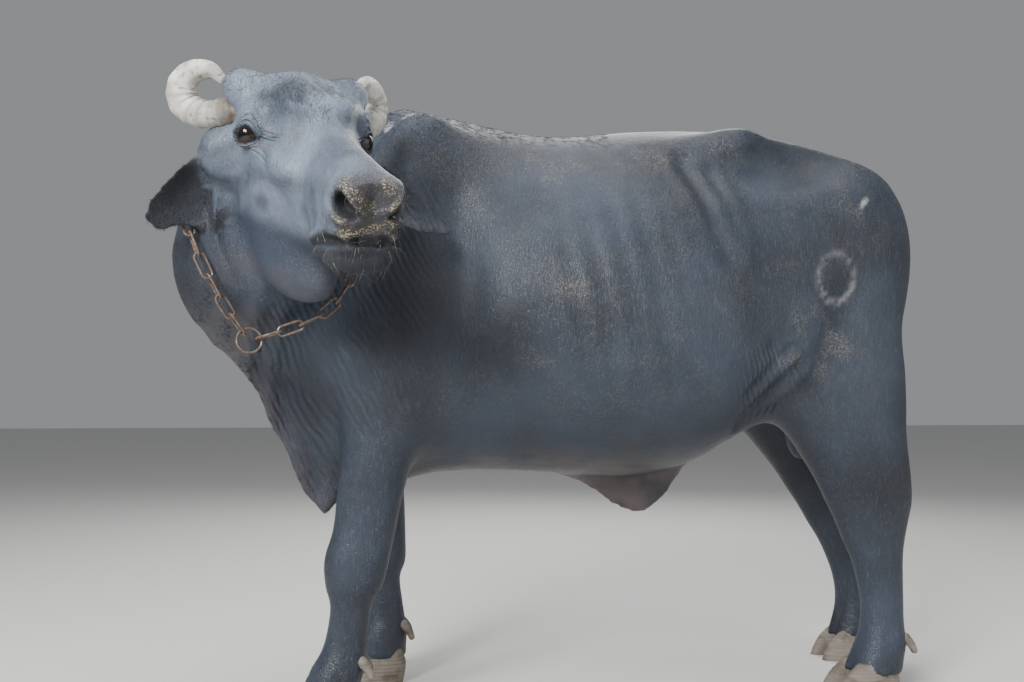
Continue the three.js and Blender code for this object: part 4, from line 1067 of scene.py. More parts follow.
class Markings:
    """The markings that skin and coat share, with painted sheen on the face and painted shade at the neck,
    read from a place on the animal.
    """

    def __init__(self, lids: Eyelids, face: Face) -> None:
        """Keeps the lids and the face."""
        self.lids = lids
        self.face = face
        self.edge = dense(DEWLAP_EDGE, 40)
        self.sheath = dense([(x, 0, z) for x, z in SHEATH_EDGE], 30)

    def dusty(self, points: Array, head: Array, on_head: Array) -> Array:
        """Dried dust on the flanks, and a little on the bridge of the nose."""
        x, y, z = points.T
        speckled = 0.16 * smooth(560, 700, z) * smooth(-420, -200, x)
        dust = np.maximum(patch_value(points, DUST), speckled) * smooth(40, 110, np.abs(y)) * (1 - on_head)
        return np.maximum(dust, 0.5 * smooth(46, 8, np.linalg.norm(head - BRIDGE_SPOT, axis=1)))

    def bare(self, points: Array, head: Array, on_head: Array) -> Array:
        """The paler thin skin of belly, dewlap, sheath and throat."""
        x, y, z = points.T
        belly = smooth(590, 500, z) * smooth(-270, -180, x) * smooth(640, 560, x)
        belly *= smooth(330, 250, np.abs(y))
        low_fold = smooth(80, 25, line_distance(points, self.edge)) * smooth(-300, -430, x)
        sheath = smooth(70, 35, line_distance(points, self.sheath))
        throat = smooth(-190, -250, head[:, 2]) * on_head * 0.22
        return np.max([belly * 0.75, low_fold * 0.3, sheath * 0.6, throat], axis=0)

    def shaded(self, points: Array, head: Array, on_head: Array, rim: Array) -> Array:
        """The black of lips, nostrils, lids and chin, a darker spot on the cheek, and painted shade at the
        base of the neck.
        """
        mirrored = mirrored_head(points)
        lips = smooth(19, 7, line_distance(mirrored, self.face.mouth))
        nostril = smooth(1.12, 0.85, self.face.nostril_metric(mirrored))
        chin = smooth(235, 275, head[:, 0]) * smooth(-98, -112, head[:, 2]) * 0.75
        dark = np.max([lips, nostril, rim, chin], axis=0) * on_head
        spot = smooth(28, 5, np.linalg.norm(head - CHEEK_SPOT, axis=1)) * 0.6
        return np.max([dark, spot, patch_value(points, SHADES) * (1 - on_head)], axis=0)

    def scarred(self, points: Array) -> Array:
        """The ring on the thigh and the pale scratches, all on the flank with y below 0."""
        x, y, z = points.T
        shift = np.where(y > 0, 1e4, 0.0)
        ring = np.hypot((x - SCAR_AT[0]) / SCAR_SIZE[0], (z - SCAR_AT[1] + shift) / SCAR_SIZE[1])
        scar = np.exp(-(((ring - 1) / 0.11) ** 2)) * (0.32 + 0.3 * smooth(950, 900, z))
        for scratch in SCRATCHES:
            away = line_distance(points * (1, 0, 1), dense(scratch, 24) * (1, 0, 1))
            scar = np.maximum(scar, 1.2 * smooth(7, 2, away) * (y < 0))
        return scar

    def on_leaves(self, points: Array, dark: Array, pale: Array) -> tuple[Array, Array]:
        """Adds the dark insides and the brownish tips of the ears."""
        for ear in EARS:
            share, across, leaf = ear.local(points)
            width, cup = ear.sizes(share)
            inner = leaf - cup * ((across / np.maximum(width, 1)) ** 2 - 0.5)
            inside = (share > 0.1) & (share < 1.05) & (np.abs(across) < width + 8) & (np.abs(inner) < 14)
            shade = smooth(-1, 3, inner) if ear.name == "ear_right" else 0.6 * smooth(-5, 25, across)
            shade = 0.75 * shade * smooth(0.08, 0.3, share)
            dark = np.where(inside, np.maximum(dark, shade), dark)
            pale = np.where(inside, np.maximum(pale, 0.14 * smooth(0, 0.6, share)), pale)
        return dark, pale

    def read(self, points: Array) -> dict[str, Array]:
        """Gives each marking's strength at points of the spine's frame."""
        head = head_place(points)
        on_head = smooth(-150, -60, head[:, 0]) * smooth(205, 150, np.abs(head[:, 1]))
        on_head *= smooth(420, 360, head[:, 0]) * smooth(-330, -250, head[:, 2])
        edge, lift, reach, _ = self.lids.measure(mirrored_head(points))
        near_eye = reach < 60
        below_eye = smooth(5, 10, edge) * smooth(30, 16, edge) * smooth(0, -8, lift) * near_eye
        pale = np.maximum(self.bare(points, head, on_head), below_eye * 0.75)
        dark = self.shaded(points, head, on_head, smooth(9, 3, edge) * near_eye)
        dark, pale = self.on_leaves(points, dark, pale)
        pad = smooth(292, 332, head[:, 0] - 0.25 * np.maximum(head[:, 2], 0))
        return {
            # The face marking holds the painted sheen of the upper face.
            "face": on_head * smooth(330, 300, head[:, 0]) * smooth(-175, -120, head[:, 2]) * 0.85,
            "dust": self.dusty(points, head, on_head),
            "pale": pale,
            "pad": pad * smooth(-112, -92, head[:, 2]) * on_head,
            "dark": dark,
            "scar": self.scarred(points),
            "wrinkle": patch_value(points, WRINKLES) * (1 - on_head),
            "lid": np.clip(edge, -10, 70),
            "near_lid": smooth(50, 24, edge) * smooth(5, 10, edge) * (reach < 85),
        }


def largest_part(bm: bmesh.types.BMesh) -> None:
    """Keeps only the largest connected part."""
    bm.verts.ensure_lookup_table()
    left = set(bm.verts)
    best: set = set()
    while left:
        stack = [left.pop()]
        part = set(stack)
        while stack:
            for edge in stack.pop().link_edges:
                for vert in edge.verts:
                    if vert in left:
                        left.discard(vert)
                        part.add(vert)
                        stack.append(vert)
        best = part if len(part) > len(best) else best
    bmesh.ops.delete(bm, geom=[vert for vert in bm.verts if vert not in best], context="VERTS")


@dataclass
class Skin:
    """One closed skin over all the flesh."""

    flesh: Flesh
    face: Face
    markings: Markings
    voxel: float = 0.0130
    grow: float = 2.2
    floor: float = 0.048
    smoothing: int = 5
    rounds: int = 4
    ear_grow: float = 5.0
    ear_passes: int = 36
    lip_passes: int = 4
    hem_passes: int = 8
    fine_margins: tuple = (40.0, 0.0)
    nodes: tuple = (
        "torso", "neck", "head", "leg_front_left", "leg_front_right", "leg_hind_left", "leg_hind_right",
        "ear_left", "ear_right", "tail", "sheath", "scrotum",
    )

    def filler(self) -> bpy.types.Object:
        """Balls that close the hollows of the mouth, nostrils and horn roots."""
        bm = bmesh.new()
        balls = [(row[1:], 9.0) for row in MOUTH]
        balls += [(tuple(place), 9.0) for place in dense([row[1:] for row in MOUTH], 30)]
        for side in (-1, 1):
            balls += [((314, 44 * side, -42), 19.0), ((298, 40 * side, -40), 19.0)]
            balls += [((-66, 84 * side, 29), 30.0), ((-73, 102 * side, 24), 29.0)]
        for place, radius in balls:
            made = bmesh.ops.create_icosphere(bm, subdivisions=2, radius=radius * MM)
            at = to_row(from_head(place))
            bmesh.ops.translate(bm, verts=made["verts"], vec=Vector(at))
        return from_bmesh("filler", bm)

    def gather(self) -> bpy.types.Object:
        """Copies and joins the flesh nodes, a little grown so that they overlap."""
        claws = [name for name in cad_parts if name.startswith("claw_")]
        parts = [self.filler()]
        for name in (*self.nodes, *claws, "eye_left", "eye_right"):
            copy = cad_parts[name].copy()
            copy.data = copy.data.copy()
            copy.parent = None
            for key in list(copy.keys()):
                del copy[key]
            bpy.context.scene.collection.objects.link(copy)
            bm = bmesh.new()
            bm.from_mesh(copy.data)
            bmesh.ops.remove_doubles(bm, verts=bm.verts, dist=2e-5)
            bm.normal_update()
            grow = self.ear_grow if name.startswith("ear") else self.grow
            for vert in bm.verts:
                vert.co += vert.normal * grow * MM
                vert.co.z = max(vert.co.z, self.floor)
            bm.to_mesh(copy.data)
            bm.free()
            parts.append(copy)
        with bpy.context.temp_override(active_object=parts[0], selected_editable_objects=parts):
            bpy.ops.object.join()
        parts[0].name = "skin"
        return parts[0]

    def relax(self, mesh: bpy.types.Mesh, co: Array, passes: int, weight: Array | float = 1.0) -> Array:
        """Evens out the spacing of the vertices."""
        edges = np.empty(len(mesh.edges) * 2, int)
        mesh.edges.foreach_get("vertices", edges)
        a, b = edges.reshape(-1, 2).T
        count = np.bincount(a, minlength=len(co)) + np.bincount(b, minlength=len(co))
        weight = np.broadcast_to(weight, len(co))
        for _ in range(passes):
            total = np.empty_like(co)
            for axis in range(3):
                total[:, axis] = np.bincount(a, co[b, axis], len(co)) + np.bincount(b, co[a, axis], len(co))
            mean = total / np.maximum(count, 1)[:, None]
            co = co + (mean - co) * (0.55 * weight)[:, None]
        return co

    def on_body(self, co: Array, passes: int) -> tuple[Array, Array]:
        """Settles points on the body's field or on an ear's leaf, and says how far each is an ear's."""
        settled = self.flesh.settle(co, passes)
        share_of_ear = np.zeros(len(co))
        off = self.flesh.value(co)
        for ear in EARS:
            share, across, leaf = ear.local(co)
            width, _ = ear.sizes(share)
            near = (share > 0.02) & (share < 1.2) & (np.abs(across) < width + 26) & (np.abs(leaf) < 60)
            weight = smooth(4, 20, off) * near * smooth(0.02, 0.16, share)
            target = ear.settle(co, self.ear_grow)
            settled = settled * (1 - weight)[:, None] + target * weight[:, None]
            share_of_ear = np.maximum(share_of_ear, weight)
        return settled, share_of_ear

    def build(self) -> bpy.types.Object:
        """Makes the skin."""
        piece = self.gather()
        remesh = piece.modifiers.new("remesh", "REMESH")
        remesh.mode = "VOXEL"
        remesh.voxel_size = self.voxel
        applied(piece)
        bm = bmesh.new()
        bm.from_mesh(piece.data)
        largest_part(bm)
        bm.to_mesh(piece.data)
        bm.free()
        of_ear = self.settle(piece.data)
        self.unwrap(piece)
        set_attribute(piece.data, "of_ear", of_ear)
        for margin in self.fine_margins:
            self.refine(piece, margin)
        self.shape(piece.data)
        piece.data.materials.clear()
        return piece

    def settle(self, mesh: bpy.types.Mesh) -> Array:
        """Settles the coarse skin on the body, and says how far each vertex is an ear's."""
        co, of_ear = self.on_body(to_spine(places(mesh)), 7)
        for _ in range(self.rounds):
            co = self.relax(mesh, co, self.smoothing, 1 - of_ear)
            body = self.flesh.settle(co, 2)
            co = co * of_ear[:, None] + body * (1 - of_ear)[:, None]
        put_places(mesh, to_row(co))
        return of_ear

    def shape(self, mesh: bpy.types.Mesh) -> None:
        """Shapes ears, face and folds on the fine skin, and stores the markings."""
        co = to_spine(places(mesh))
        of_ear = np.empty(len(co), np.float32)
        mesh.attributes["of_ear"].data.foreach_get("value", of_ear)
        on_head = self.is_head(co, 80) & (of_ear < 0.5)
        for ear in EARS:
            share, across, _ = ear.local(co)
            here = (of_ear > 0.97) & (share < 1.3) & (np.abs(across) < 110)
            co[here] = ear.settle(co[here], 0.0)
        smoothed = self.relax(mesh, co, self.ear_passes, of_ear * 0.9)
        co = np.where((of_ear > 0.02)[:, None], smoothed, co)
        co[on_head] = self.flesh.settle(co[on_head], 2)
        put_places(mesh, to_row(co))
        outward = normals(mesh)
        co[on_head] = self.face.shape(co[on_head], outward[on_head])
        from_lips = line_distance(mirrored_head(co), self.face.mouth)
        co = self.relax(mesh, co, self.lip_passes, np.exp(-((from_lips / 16) ** 2)) * on_head)
        co = self.carve(co, outward, of_ear)
        hem = np.minimum(line_distance(co, self.markings.edge), line_distance(co, self.markings.sheath))
        co = self.relax(mesh, co, self.hem_passes, smooth(55, 20, hem) * 0.8)
        put_places(mesh, to_row(co))
        for name, values in self.markings.read(co).items():
            set_attribute(mesh, name, values)
        LOG.info("skin %d vertices, %d faces", len(co), len(mesh.polygons))

    def is_head(self, points: Array, margin: float) -> Array:
        """Says which points lie on the face or the ears."""
        local = head_place(points)
        inside = (local[:, 0] > -95 - margin) & (local[:, 0] < 400) & (np.abs(local[:, 1]) < 145 + margin)
        inside &= (local[:, 2] > -240 - margin) & (local[:, 2] < 150)
        for ear in EARS:
            share, across, leaf = ear.local(points)
            ear_near = (share > 0.1) & (share < 1.2) & (np.abs(across) < 90) & (np.abs(leaf) < 70)
            inside |= ear_near & (margin > 10)
        return inside

    def unwrap(self, piece: bpy.types.Object) -> None:
        """Unwraps the skin's own shape."""
        bpy.ops.object.select_all(action="DESELECT")
        piece.select_set(True)
        bpy.context.view_layer.objects.active = piece
        piece.data.uv_layers.new(name="skin_map")
        bpy.ops.object.mode_set(mode="EDIT")
        bpy.ops.mesh.select_all(action="SELECT")
        bpy.ops.uv.smart_project(angle_limit=1.2, island_margin=0.002)
        bpy.ops.object.mode_set(mode="OBJECT")

    def refine(self, piece: bpy.types.Object, margin: float) -> None:
        """Divides the faces of the head, with a margin round it."""
        bm = bmesh.new()
        bm.from_mesh(piece.data)
        bm.faces.ensure_lookup_table()
        middles = to_spine(np.array([face.calc_center_median() for face in bm.faces]))
        chosen = self.is_head(middles, margin)
        edges = {edge for face, take in zip(bm.faces, chosen) if take for edge in face.edges}
        bmesh.ops.subdivide_edges(bm, edges=list(edges), cuts=1, use_grid_fill=True)
        bm.to_mesh(piece.data)
        bm.free()
        piece.data.shade_smooth()

    def carve(self, co: Array, outward: Array, of_ear: Array) -> Array:
        """Presses the creases, ribs and folds of the body."""
        x, y, z = co.T
        away_from_head = (1 - of_ear) * ~self.is_head(co, 0)
        off_side = smooth(70, 130, np.abs(y)) * away_from_head
        push = np.zeros(len(co))
        for crease in CREASES:
            line = dense([(a, 0, b) for a, b in crease.line], 40)
            near = line_distance(co * (1, 0, 1), line)
            groove = np.exp(-((near / crease.width) ** 2))
            swell = np.exp(-((near / crease.width - 1.9) ** 2))
            push += crease.depth * (0.45 * swell - groove) * off_side
        ribs = smooth(0, 90, x) * smooth(360, 260, x) * smooth(640, 760, z) * smooth(1160, 1040, z)
        push += 1.8 * np.sin((x + 0.16 * z) * 2 * math.pi / 58) * ribs * off_side
        hang = smooth(120, 40, line_distance(co, self.markings.edge)) * smooth(-330, -430, x)
        push += 4.0 * np.sin(y * 0.03 + z * 0.012 + x * 0.11) * hang * away_from_head
        dimple = np.hypot(x - 523, z - 779)
        push -= 9 * np.exp(-((dimple / 16) ** 2)) * off_side * (y < 0)
        return co + outward * push[:, None]


# Coat
QUICK_SHARE = 0.2


@dataclass
class Coat:
    """Short tufts over the skin, each with its patch on the skin's own unwrap."""

    skin: bpy.types.Object
    markings: Markings
    seed: int = 7
    body_lie: Triple = (0.72, 0.0, -0.62)
    leg_lie: Triple = (0.12, 0.0, -1.0)

    def __post_init__(self) -> None:
        """Reads the skin's triangles."""
        mesh = self.skin.data
        mesh.calc_loop_triangles()
        count = len(mesh.loop_triangles)
        verts, loops = np.empty(count * 3, int), np.empty(count * 3, int)
        mesh.loop_triangles.foreach_get("vertices", verts)
        mesh.loop_triangles.foreach_get("loops", loops)
        uv = np.empty(len(mesh.loops) * 2)
        mesh.uv_layers["skin_map"].data.foreach_get("uv", uv)
        self.verts = verts.reshape(-1, 3)
        self.co = places(mesh)
        self.normal = normals(mesh)
        self.uv = uv.reshape(-1, 2)[loops].reshape(-1, 3, 2)
        a, b, c = (self.co[self.verts[:, k]] for k in range(3))
        self.area = np.linalg.norm(np.cross(b - a, c - a), axis=1) / 2
        self.middle = to_spine((a + b + c) / 3)
        self.random = np.random.default_rng(self.seed)

    def scatter(self, count: int, density: Array) -> tuple[Array, Array, Array]:
        """Picks roots on the skin: places, normals and unwrap places."""
        chance = self.area * density
        picked = self.random.choice(len(chance), count, p=chance / chance.sum())
        share = self.random.dirichlet((1, 1, 1), count)
        tri = self.verts[picked]
        root = np.einsum("nk,nkd->nd", share, self.co[tri])
        normal = unit(np.einsum("nk,nkd->nd", share, self.normal[tri]))
        return root, normal, np.einsum("nk,nkd->nd", share, self.uv[picked])

    def lie(self, points: Array) -> Array:
        """The direction that the coat lies in, in the spine's frame."""
        x, z = points[:, 0], points[:, 2]
        local = head_place(points)
        on_head = smooth(-140, -60, local[:, 0]) * smooth(400, 330, np.abs(local[:, 1]))
        on_head *= smooth(-330, -260, local[:, 2]) * (x <= -250)
        on_leg = smooth(640, 520, z)
        body = np.tile(self.body_lie, (len(x), 1))
        body[:, 2] += 0.25 * np.sin(x * 0.011 + z * 0.017)
        face = 0.8 * HEAD_FORWARD + np.outer(np.sign(local[:, 1]) * 0.35, HEAD_LEFT)
        mixed = body * (1 - on_leg)[:, None] + np.outer(on_leg, self.leg_lie)
        mixed = mixed * (1 - on_head)[:, None] + face * on_head[:, None]
        on_chin = smooth(200, 250, local[:, 0]) * smooth(-90, -120, local[:, 2]) * on_head
        return unit(mixed * (1 - on_chin)[:, None] + np.outer(on_chin, (0, 0, -1)))

    def grow(self, growth: "Growth") -> bpy.types.Object:
        """Grows one piece of coat."""
        share = QUICK_SHARE if growth.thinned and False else 1.0
        count = int(growth.count * share)
        root, normal, uv = self.scatter(count, np.maximum(growth.where(self.middle), 0))
        spine = to_spine(root)
        style = growth.tuft
        lie = self.lie(spine) + self.random.normal(0, style.spread, (count, 3))
        piece = style.spikes(growth.name, root, normal, uv, lie, self.random)
        copies = 3 * style.steps + 1
        for key, values in self.markings.read(spine).items():
            if key not in ("lid", "near_lid", "wrinkle"):
                set_attribute(piece.data, key, np.repeat(values, copies))
        return piece


@dataclass(frozen=True)
class Tuft:
    """The size and bend of one kind of tuft, in millimetres."""

    length: float
    width: float
    rise: float
    droop: float
    steps: int = 1
    spread: float = 0.16
    vary: float = 0.35

    def spikes(
        self, name: str, root: Array, normal: Array, uv: Array, lie: Array, random: np.random.Generator
    ) -> bpy.types.Object:
        """Makes thin three-sided closed spikes as one mesh.

        Args:
            name: The piece's name.
            root: Where each spike starts, in metres.
            normal: The skin's normals there.
            uv: The roots' places on the skin's unwrap.
            lie: The directions that they lie in.
            random: The source of chance.

        Returns:
            The object.
        """
        count = len(root)
        flat = unit(lie - normal * (lie * normal).sum(1)[:, None])
        side = np.cross(normal, flat)
        length = self.length * MM * (1 + self.vary * random.uniform(-1, 1, count))[:, None]
        width = self.width * MM * (1 + 0.3 * random.uniform(-1, 1, count))[:, None]
        rise = self.rise * (1 + 0.4 * random.uniform(-1, 1, count))[:, None]
        start = root - normal * width * 1.2
        rings = []
        for step in range(self.steps + 1):
            t = step / self.steps
            middle = start + length * (flat * t + normal * (rise * (t - self.droop * t * t)))
            if step == self.steps:
                rings.append(middle[:, None])
                continue
            size = width * (1 - 0.75 * t) if self.steps > 1 else width
            for k in range(3):
                turn = 2 * math.pi * k / 3 + math.pi / 2
                rings.append((middle + size * (side * math.cos(turn) + normal * math.sin(turn)))[:, None])
        verts = np.concatenate(rings, axis=1)
        faces = [(0, 2, 1)]
        for step in range(self.steps - 1):
            for k in range(3):
                a, b = 3 * step + k, 3 * step + (k + 1) % 3
                faces += [(a, b, b + 3), (a, b + 3, a + 3)]
        last = 3 * (self.steps - 1)
        faces += [(last + k, last + (k + 1) % 3, last + 3) for k in range(3)]
        return joined(name, verts, np.array(faces), uv)


def joined(name: str, verts: Array, faces: Array, uv: Array) -> bpy.types.Object:
    """Makes one mesh of many copies of a form, each a small patch of the OFBake map."""
    count, size = verts.shape[:2]
    index = (np.arange(count)[:, None, None] * size + faces[None]).reshape(-1, 3)
    mesh = bpy.data.meshes.new(name)
    mesh.vertices.add(count * size)
    mesh.vertices.foreach_set("co", verts.ravel())
    mesh.loops.add(index.size)
    mesh.loops.foreach_set("vertex_index", index.ravel())
    mesh.polygons.add(len(index))
    mesh.polygons.foreach_set("loop_start", np.arange(len(index)) * 3)
    mesh.update(calc_edges=True)
    angle = np.arange(size) * 2.4
    reach = 0.0015 * (0.35 + 0.65 * np.arange(size) / max(size - 1, 1))
    offset = np.column_stack([np.cos(angle) * reach, np.sin(angle) * reach])
    layer = mesh.uv_layers.new(name="OFBake")
    layer.data.foreach_set("uv", (uv[:, None] + offset[None]).reshape(-1, 2)[index.ravel()].ravel())
    mesh.validate()
    return new_object(name, mesh)


# Pieces beside the skin
@dataclass
class Horns:
    """The two horns, with growth rings."""

    radii: tuple = ((0, 29), (0.14, 28), (0.28, 27), (0.42, 28), (0.57, 28), (0.71, 24), (0.86, 19), (1, 11))
    flatness: float = 0.86

    def build(self, side: int) -> bpy.types.Object:
        """Makes one horn. The side is 1 for the left one."""
        line = [(row[0], row[1] * side, row[2]) for row in HORN]
        path = Path(from_head(line))
        found: dict[str, Array] = {}

        def radius(along: Array, angle: Array) -> Array:
            """The horn's radius with its ridges."""
            size = rows_at(self.radii, along)[0]
            ridge = np.sin(along * 88 + 0.5 * np.sin(angle * 2)) * smooth(0.95, 0.35, along)
            chip = 0.6 * np.sin(angle * 7 + along * 20) * smooth(0, 0.3, along)
            found["ring"], found["base"] = ridge, smooth(0.42, 0.12, along)
            return size * (1 + (self.flatness - 1) * np.abs(np.cos(angle))) - 1.0 + 0.9 * ridge + 0.4 * chip

        name = "horn_shell_left" if side > 0 else "horn_shell_right"
        piece = wrapped_sphere(name, 56, 220, tube_place(path, radius))
        for key, values in found.items():
            set_attribute(piece.data, key, values)
        return piece


@dataclass
class Eyes:
    """The two eyeballs."""

    radius: float = 25.7
    bulge: float = 1.7
    iris: float = 0.86
    pupil_width: float = 0.42
    pupil_height: float = 0.2

    def build(self, side: int) -> bpy.types.Object:
        """Makes one eye. The side is 1 for the left one."""
        gaze = unit([GAZE[0], GAZE[1] * side, GAZE[2]])
        along = unit(np.array([1.0, 0, 0]) - gaze * gaze[0])
        upward = np.cross(along, gaze)
        found: dict[str, Array] = {}

        def place(share: Array, angle: Array) -> Array:
            """Places the ball with its cornea toward the gaze."""
            turn = share * math.pi
            wide, high = np.sin(turn) * np.cos(angle), np.sin(turn) * np.sin(angle)
            ray = np.outer(np.cos(turn), gaze) + (np.outer(wide, along) + np.outer(high, upward))
            reach = self.radius + self.bulge * smooth(0.72, 0.35, turn)
            found["iris"] = turn / self.iris
            pupil = np.hypot(wide / self.pupil_width, high / self.pupil_height)
            found["pupil"] = np.where(turn > math.pi / 2, 5.0, pupil)
            return from_head(np.array([EYE[0], EYE[1] * side, EYE[2]]) + ray * reach[:, None])

        piece = wrapped_sphere("eye_ball_left" if side > 0 else "eye_ball_right", 48, 40, place)
        for key, values in found.items():
            set_attribute(piece.data, key, values)
        return piece


@dataclass
class Claws:
    """The eight claws and the small dewclaws."""

    rows: tuple = ((0, 0, 1, 1), (22, 7, 0.97, 0.98), (50, 18, 0.85, 0.93), (80, 31, 0.55, 0.66))
    length: float = 77.5
    width: float = 28.7
    apart: float = 31.0
    ahead: float = 33.0
    dewclaw_height: float = 122.0

    def foot(self, leg: Leg) -> tuple[float, float]:
        """The middle of a foot on the floor."""
        return rows_at(leg.rows, np.array([40.0]))[0][0] + leg.lean - self.ahead, leg.side

    def build(self, leg: Leg, side: int, label: str) -> bpy.types.Object:
        """Makes one claw on one side of a foot."""
        foot_x, foot_y = self.foot(leg)

        def place(share: Array, angle: Array) -> Array:
            """Places a wall over a flat sole."""
            up = 1 - share
            inner = np.clip(up / 0.16, 0, 1) * np.clip((1 - up) / 0.12, 0, 1) ** 0.5
            z = np.clip((up - 0.16) / 0.72, 0, 1) * 80
            back, length, width = rows_at(self.rows, z)
            c, s = np.cos(angle), np.sin(angle)
            toe = np.where(c < 0, 1.7, 2.6)
            reach = (np.abs(c) / (self.length * length)) ** toe + (np.abs(s) / (self.width * width)) ** toe
            reach = reach ** (-1 / toe) * inner
            reach -= 0.5 * (1 + np.sin(z * 0.75 + np.sin(angle))) * (z > 1) * inner
            reach -= 1.6 * smooth(0.17, 0.15, up) * inner
            return np.column_stack([foot_x + back + c * reach, foot_y + side * self.apart + s * reach, z])

        return wrapped_sphere(f"claw_horn_{leg.name}_{label}", 56, 60, place)

    def dewclaw(self, leg: Leg, side: int, label: str) -> bpy.types.Object:
        """Makes one of the two small claws behind a pastern."""
        place_x, half, _ = rows_at(leg.rows, np.array([self.dewclaw_height]))
        back = place_x[0] + leg.lean * (1 - self.dewclaw_height / leg.lean_top) + half[0]
        top = (back - 10, leg.side + side * 25, 132)
        low = (back + 9, leg.side + side * 30, 104)
        path = Path(np.array([top, np.mean([top, low], axis=0) + (3, 0, 0), low]))
        shape = tube_place(path, lambda along, angle: 11.5 - 4 * along, 0.2)
        return wrapped_sphere(f"dewclaw_{leg.name}_{label}", 28, 20, shape)


@dataclass
class Collar:
    """The chain's links and ring as round wire, each where the plain one lies."""

    wire: float = 0.0027
    ring_wire: float = 0.0024
    section: float = 0.2
    section_sides: int = 12
    steps: int = 36

    def measure(self, name: str) -> tuple[Array, Array, Array]:
        """A node's middle, its axes from the longest to the shortest, and its half sizes."""
        co = places(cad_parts[name].data)
        co = np.unique(np.round(co, 6), axis=0)
        middle = co.mean(0)
        axes = np.linalg.svd(co - middle, full_matrices=False)[2]
        local = (co - middle) @ axes.T
        middle = middle + (local.max(0) + local.min(0)) / 2 @ axes
        return middle, axes, (local.max(0) - local.min(0)) / 2

    def wire_loop(self, bm: bmesh.types.BMesh, name: str, wire: float) -> None:
        """Adds one loop of round wire."""
        middle, axes, half = self.measure(name)
        sides = self.section_sides
        circle = bmesh.ops.create_circle(bm, cap_ends=False, segments=sides, radius=self.section)
        turn = Matrix.Translation((1, 0, 0)) @ Matrix.Rotation(math.pi / 2, 4, "X")
        bmesh.ops.transform(bm, matrix=turn, verts=circle["verts"])
        edges = list({edge for vert in circle["verts"] for edge in vert.link_edges})
        known = set(bm.verts) - set(circle["verts"])
        bmesh.ops.spin(
            bm, geom=circle["verts"] + edges, cent=(0, 0, 0), axis=(0, 0, 1), angle=2 * math.pi,
            steps=self.steps, use_merge=True,
        )
        made = [vert for vert in bm.verts if vert not in known]
        co = np.array([vert.co for vert in made])
        angle = np.arctan2(co[:, 1], co[:, 0])
        outward = (np.hypot(co[:, 0], co[:, 1]) - 1) / self.section
        straight = half[0] - half[1]
        reach = half[1] - wire + outward * wire
        local = np.column_stack([
            reach * np.cos(angle) + np.tanh(8 * np.cos(angle)) * straight,
            reach * np.sin(angle),
            co[:, 2] / self.section * wire,
        ])
        for vert, point in zip(made, middle + local @ axes):
            vert.co = point

    def build(self) -> tuple[bpy.types.Object, bpy.types.Object, list[str]]:
        """Makes the chain and the ring."""
        links = sorted(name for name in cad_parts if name.startswith("collar_link"))
        bm = bmesh.new()
        for name in links:
            self.wire_loop(bm, name, self.wire)
        bmesh.ops.remove_doubles(bm, verts=bm.verts, dist=1e-6)
        bmesh.ops.recalc_face_normals(bm, faces=bm.faces)
        chain = from_bmesh("collar_chain", bm)
        bm = bmesh.new()
        self.wire_loop(bm, "collar_ring", self.ring_wire)
        bmesh.ops.remove_doubles(bm, verts=bm.verts, dist=1e-6)
        bmesh.ops.recalc_face_normals(bm, faces=bm.faces)
        return chain, from_bmesh("collar_round_ring", bm), links


@dataclass
class LongHair:
    """The tail's switch of long wavy locks."""

    locks: int = 420
    seed: int = 11
    middle: tuple[float, float] = (961.0, -1.0)
    roots: tuple[float, float] = (520.0, 640.0)
    tips: tuple[float, float] = (172.0, 330.0)
    spread: tuple[float, float] = (6.0, 25.0)
    steps: int = 9
    sides: int = 3

    def build(self) -> bpy.types.Object:
        """Makes the switch."""
        rand = np.random.default_rng(self.seed)
        steps, sides = self.steps, self.sides
        turn = rand.uniform(0, 2 * math.pi, self.locks)
        top = rand.uniform(*self.roots, self.locks)
        low = rand.uniform(*self.tips, self.locks)
        reach = rand.uniform(*self.spread, self.locks)
        rings = []
        for step in range(steps + 1):
            t = step / steps
            z = top + (low - top) * t
            out = 11 + (reach - 6) * np.sin(math.pi * min(t * 1.05, 1)) - 5 * t
            out += 2.2 * np.sin(t * 11 + turn * 3)
            drift = turn + 0.25 * np.sin(t * 5 + reach)
            x, y = self.middle[0] + out * np.cos(drift), self.middle[1] + out * np.sin(drift)
            size = 2.6 * (1 - t) ** 0.6 + 0.15
            for k in range(1 if step == steps else sides):
                angle = 2 * math.pi * k / sides + turn
                shift = np.column_stack([np.cos(angle), np.sin(angle), 0 * angle]) * size
                rings.append(to_row(np.column_stack([x, y, z]) + shift * (step < steps))[:, None])
        faces = [(0, 1, 2)]
        for step in range(steps - 1):
            for k in range(sides):
                a, b = sides * step + k, sides * step + (k + 1) % sides
                faces += [(a, b + sides, b), (a, a + sides, b + sides)]
        last = sides * (steps - 1)
        faces += [(last + k, last + sides, last + (k + 1) % sides) for k in range(sides)]
        uv = np.column_stack([turn / (2 * math.pi) * 0.2 + 0.01, (top - self.roots[0]) / 1200 + 0.01])
        return joined("tail_switch_hair", np.concatenate(rings, axis=1), np.array(faces), uv)


# Stage
LIT_PLACE = (0.0, 0.0, 0.7)


@dataclass(frozen=True)
class SoftLight:
    """A square studio light aimed at the animal."""

    name: str
    at: Triple
    size: float
    power: float

    def add(self) -> None:
        """Adds the light."""
        data = bpy.data.lights.new(self.name, "AREA")
        data.size, data.energy = self.size, self.power
        lamp = bpy.data.objects.new(self.name, data)
        lamp.location = self.at
        lamp.rotation_euler = (Vector(LIT_PLACE) - Vector(self.at)).to_track_quat("-Z", "Y").to_euler()
        bpy.context.scene.collection.objects.link(lamp)


LIGHTS = (
    SoftLight("key", (-2.5, -3.1, 2.7), 1.8, 350.0),
    SoftLight("fill", (2.8, -3.0, 1.6), 3.2, 60.0),
    SoftLight("rim", (1.0, 3.2, 3.2), 2.6, 110.0),
    SoftLight("top", (0.0, -0.2, 4.0), 2.4, 85.0),
)


